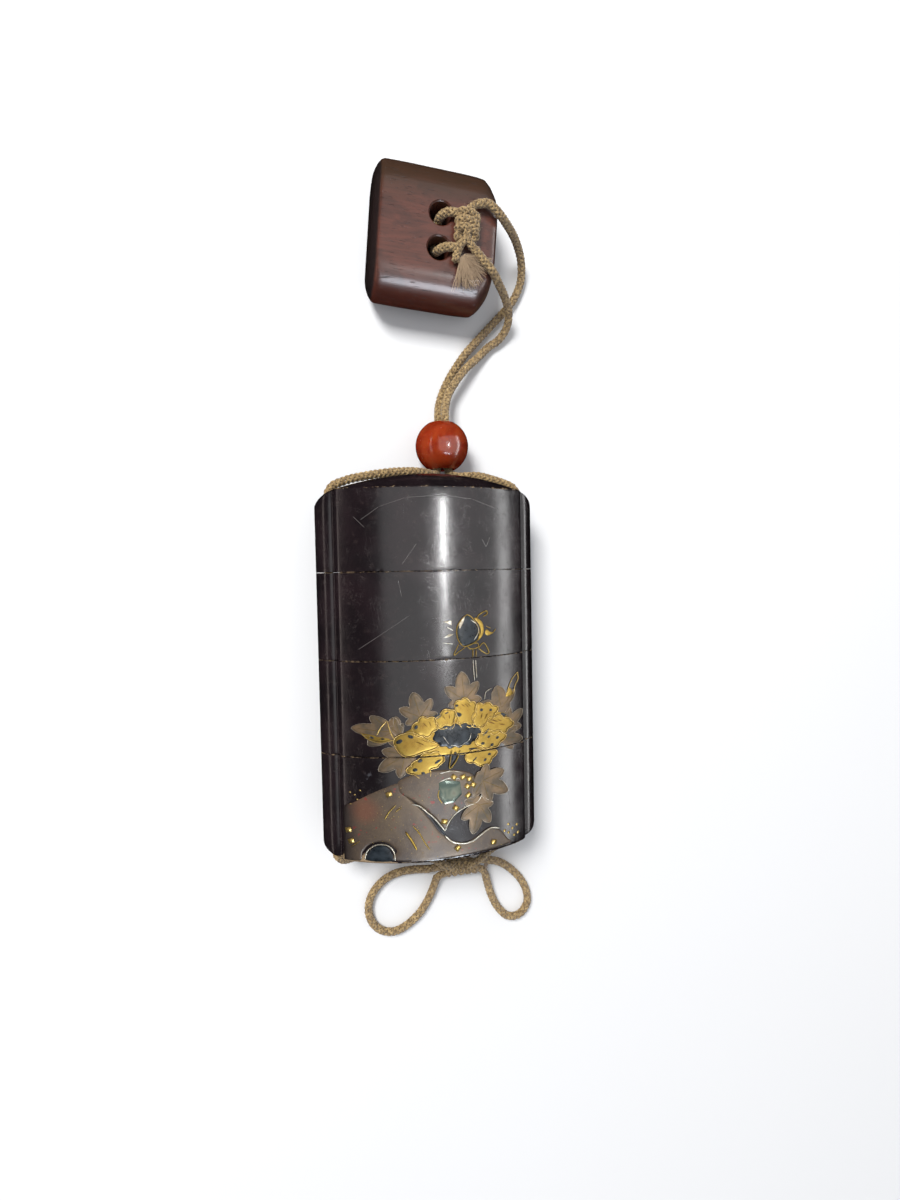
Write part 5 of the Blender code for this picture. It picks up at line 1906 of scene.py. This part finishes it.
def make_knots(look, colours):
    """The netsuke's bight, its knot with the frayed end, and the bow's wrapped knot."""
    mesh = braided("netsuke_bight", on_toggle(netsuke_loop_points()), look, colours)[0]
    bight = dress(add_piece("netsuke_bight", mesh, look), "cord", "netsuke_loop")
    pale = cord_paint("frayed_fibre", (0.62, 0.46, 0.30), (0.36, 0.24, 0.14))
    parts = {
        "knot_wraps": turns((6.3, 1.1, 1.75), "Y", 2.1, 0.75, 5.4, 3.2, 0.7, 2.6),
        "knot_leg_far": [(3.3, 3.8, 1.35), (4.4, 3.6, 1.6), (5.6, 2.9, 1.9), (6.6, 1.8, 2.2)],
        "knot_leg_near": [(3.3, -3.8, 1.35), (4.3, -3.6, 1.6), (5.3, -2.8, 1.9), (6.4, -1.4, 2.2)],
        "knot_hook": [(5.2, 2.2, 2.0), (5.7, 3.7, 1.9), (6.7, 5.0, 1.8), (7.7, 6.0, 1.7), (8.8, 6.45, 1.7)],
        "knot_second": [(6.2, 0.2, 2.2), (6.4, -1.3, 2.0), (7.3, -2.7, 1.8), (8.6, -3.85, 1.6)],
        "knot_stub": [(5.4, -2.6, 1.6), (4.8, -3.9, 1.5), (4.4, -5.2, 1.4), (4.2, -6.8, 1.35)],
    }
    parts = {key: on_toggle(points) for key, points in parts.items()}
    root, towards = on_toggle([(5.6, -5.6, 1.4), (8.6, -8.6, 1.0)])
    fray = frayed("knot_fray", root, towards - root, 0.0070, 1.0, 560, 5, pale)
    knot = knot_piece("netsuke_knot_cord", "netsuke_knot", parts, fray, (look, pale), colours)
    parts = {
        "bow_wraps": turns((8.2, -10.5, 3.9), "X", 1.2, 1.1, 7.2, 4.4, 0.4, 1.0),
        "bow_to_right": [(10.6, -9.8, 4.6), (12.8, -9.3, 4.3), (14.2, -9.4, 3.9), (15.7, -9.9, 3.4)],
        "bow_from_right": [(10.8, -10.9, 4.4), (12.8, -11.3, 4.2), (14.2, -12.2, 3.7), (14.9, -13.6, 3.0)],
        "bow_to_left": [(5.6, -10.0, 4.4), (2.8, -9.9, 4.0), (0.2, -10.2, 3.6)],
        "bow_from_left": [(5.6, -11.4, 4.2), (3.8, -12.0, 3.5), (2.6, -13.1, 2.7)],
        "bow_from_base_left": [(3.2, -8.2, 6.45), (4.6, -9.0, 6.0), (6.4, -10.0, 5.2)],
        "bow_from_base_right": [(13.1, -7.7, 6.65), (11.8, -8.8, 6.1), (10.0, -9.8, 5.2)],
    }
    parts = {key: in_row([Vector(point) * MM for point in points]) for key, points in parts.items()}
    root, towards = in_row([Vector((14.6, -10.9, 4.0)) * MM, Vector((16.2, -11.1, 3.6)) * MM])
    fray = frayed("bow_fray", root, towards - root, 0.0018, 0.9, 110, 9, pale)
    bow = knot_piece("bow_knot_cord", "bottom_knot", parts, fray, (look, pale), colours)
    return {"cord_left": [bight, knot], "loop_left": [bow]}


# Stage: floor, lights and camera at the photograph's angle

CAMERA_PLACE = (-30.85, 62.97, 161.62)
CAMERA_YAW = math.radians(13.5)
CAMERA_PITCH = math.radians(2.6)
CAMERA_ROLL = math.radians(1.11)
FOCAL_PIXELS = 669.0
PICTURE_HEIGHT = 1200
SENSOR = 36.0
FLOOR_SPAN = 1.6
NEAREST_SEEN = 0.01
WHITE = (1, 1, 1)
SKY = (0.93, 0.95, 1.0, 1.0)
SKY_STRENGTH = 0.50
AIM = (0, 0, 0.01)
KEY = ((-0.46, 0.50, 0.87), AIM, 0.34, 0.34, 38.0)

# Boxes that only reflections show: name, place, width, height, radiance, colour
SHINES = (
    ("broad_box", (0.38, 0.05, 1.03), 2.4, 1.5, 1.3, WHITE),
    ("window", (0.180, 0.035, 0.61), 0.016, 0.11, 190.0, WHITE),
    ("window_foot", (0.180, -0.075, 0.61), 0.030, 0.11, 30.0, WHITE),
    ("cool_front", (0.15, -0.57, 0.53), 0.34, 0.34, 21.0, (0.82, 0.9, 1.0)),
    ("far_right", (0.62, 0.0, 0.30), 0.12, 0.9, 6.0, WHITE),
    ("far_left", (-0.55, 0.0, 0.30), 0.06, 0.9, 3.0, (1.0, 0.86, 0.8)),
)


def soft_light(name, place, target, width, height, radiance, colour=WHITE):
    """A soft box with a given brightness, facing a target, its width along X and its height along Y."""
    data = bpy.data.lights.new(name, "AREA")
    data.shape = "RECTANGLE"
    data.size = width
    data.size_y = height
    data.energy = radiance * math.pi * width * height
    data.color = colour
    lamp = placed(name, data)
    back = (Vector(place) - Vector(target)).normalized()
    across = Vector((0, 1, 0)).cross(back).normalized()
    turn = Matrix((across, back.cross(across), back)).transposed()
    lamp.matrix_world = Matrix.Translation(place) @ turn.to_4x4()
    lamp.visible_camera = False
    return lamp


def floor_paint():
    """Pale matt paper."""
    paint = Paint("pale_paper", IOR=1.45)
    where = paint.place()
    cloud = paint.noise(where, 6, 2.0, 0.5)
    return paint.finish(paint.mix(cloud, (0.80, 0.80, 0.80), (0.83, 0.83, 0.83)), 0.9 + 0.05 * cloud)


def camera_matrix():
    """Rotation of a camera that looks down on the case, from its yaw, pitch and roll."""
    yaw = Matrix.Rotation(CAMERA_YAW, 3, "Y")
    pitch = Matrix.Rotation(CAMERA_PITCH, 3, "X")
    roll = Matrix.Rotation(CAMERA_ROLL, 3, "Z")
    sight = roll @ pitch.transposed() @ yaw.transposed()
    flip = Matrix(((1, 0, 0), (0, 1, 0), (0, 0, -1)))
    return (flip @ sight.transposed() @ flip).to_4x4()


class INRO_OT_stage(bpy.types.Operator):
    """Adds the pale floor, the soft studio lights and the camera"""

    bl_idname = "inro.stage"
    bl_label = "Floor, Lights and Camera"

    def execute(self, context):
        scene = context.scene
        half = FLOOR_SPAN / 2
        corners = [(-half, -half, 0), (half, -half, 0), (half, half, 0), (-half, half, 0)]
        mesh = bpy.data.meshes.new("floor")
        mesh.from_pydata(corners, [], [(0, 1, 2, 3)])
        floor = add_piece("floor", mesh, floor_paint())
        floor.visible_glossy = False
        world = bpy.data.worlds.new("studio")
        scene.world = world
        world.use_nodes = True
        surroundings = world.node_tree.nodes["Background"]
        surroundings.inputs["Color"].default_value = SKY
        surroundings.inputs["Strength"].default_value = SKY_STRENGTH
        world.cycles_visibility.glossy = False
        soft_light("key", *KEY).visible_glossy = False
        for name, place, *box in SHINES:
            soft_light(name, place, AIM, *box).visible_diffuse = False
        data = bpy.data.cameras.new("photo_camera")
        data.lens = FOCAL_PIXELS * SENSOR / PICTURE_HEIGHT
        data.sensor_width = SENSOR
        data.clip_start = NEAREST_SEEN
        camera = placed("photo_camera", data)
        spot = Vector(CAMERA_PLACE) * MM + Vector((0, RIM_Y, 0))
        camera.matrix_world = Matrix.Translation(spot) @ camera_matrix()
        scene.camera = camera
        scene.view_settings.view_transform = "Standard"
        return {"FINISHED"}


OPERATORS = (
    INRO_OT_stage, INRO_OT_cords, INRO_OT_sections, INRO_OT_picture, INRO_OT_bead, INRO_OT_toggle,
)
SETTINGS = {
    "inro_lacquer": InroLacquerSettings,
    "inro_picture": InroPictureSettings,
    "inro_wood": InroWoodSettings,
    "inro_bead": InroBeadSettings,
    "inro_cord": InroCordSettings,
}


class INRO_PT_case(bpy.types.Panel):
    """Lists the pieces and their sizes and colours."""

    bl_idname = "INRO_PT_case"
    bl_label = "Inro Case"
    bl_space_type = "VIEW_3D"
    bl_region_type = "UI"
    bl_category = "Inro"

    def draw(self, context):
        for operator in OPERATORS:
            self.layout.operator(operator.bl_idname)
        for name, group in SETTINGS.items():
            box = self.layout.box()
            for key in group.__annotations__:
                box.prop(getattr(context.scene, name), key)


def register():
    """Adds the operators, the panel and the settings."""
    for made in (*SETTINGS.values(), *OPERATORS, INRO_PT_case):
        bpy.utils.register_class(made)
    for name, group in SETTINGS.items():
        setattr(bpy.types.Scene, name, bpy.props.PointerProperty(type=group))


def unregister():
    """Takes them away again."""
    for name in SETTINGS:
        delattr(bpy.types.Scene, name)
    for made in (INRO_PT_case, *OPERATORS[::-1], *list(SETTINGS.values())[::-1]):
        bpy.utils.unregister_class(made)


def main():
    """Dresses the model."""
    register()
    for operator in OPERATORS:
        group, name = operator.bl_idname.split(".")
        getattr(getattr(bpy.ops, group), name)()


if __name__ == "__main__":
    main()
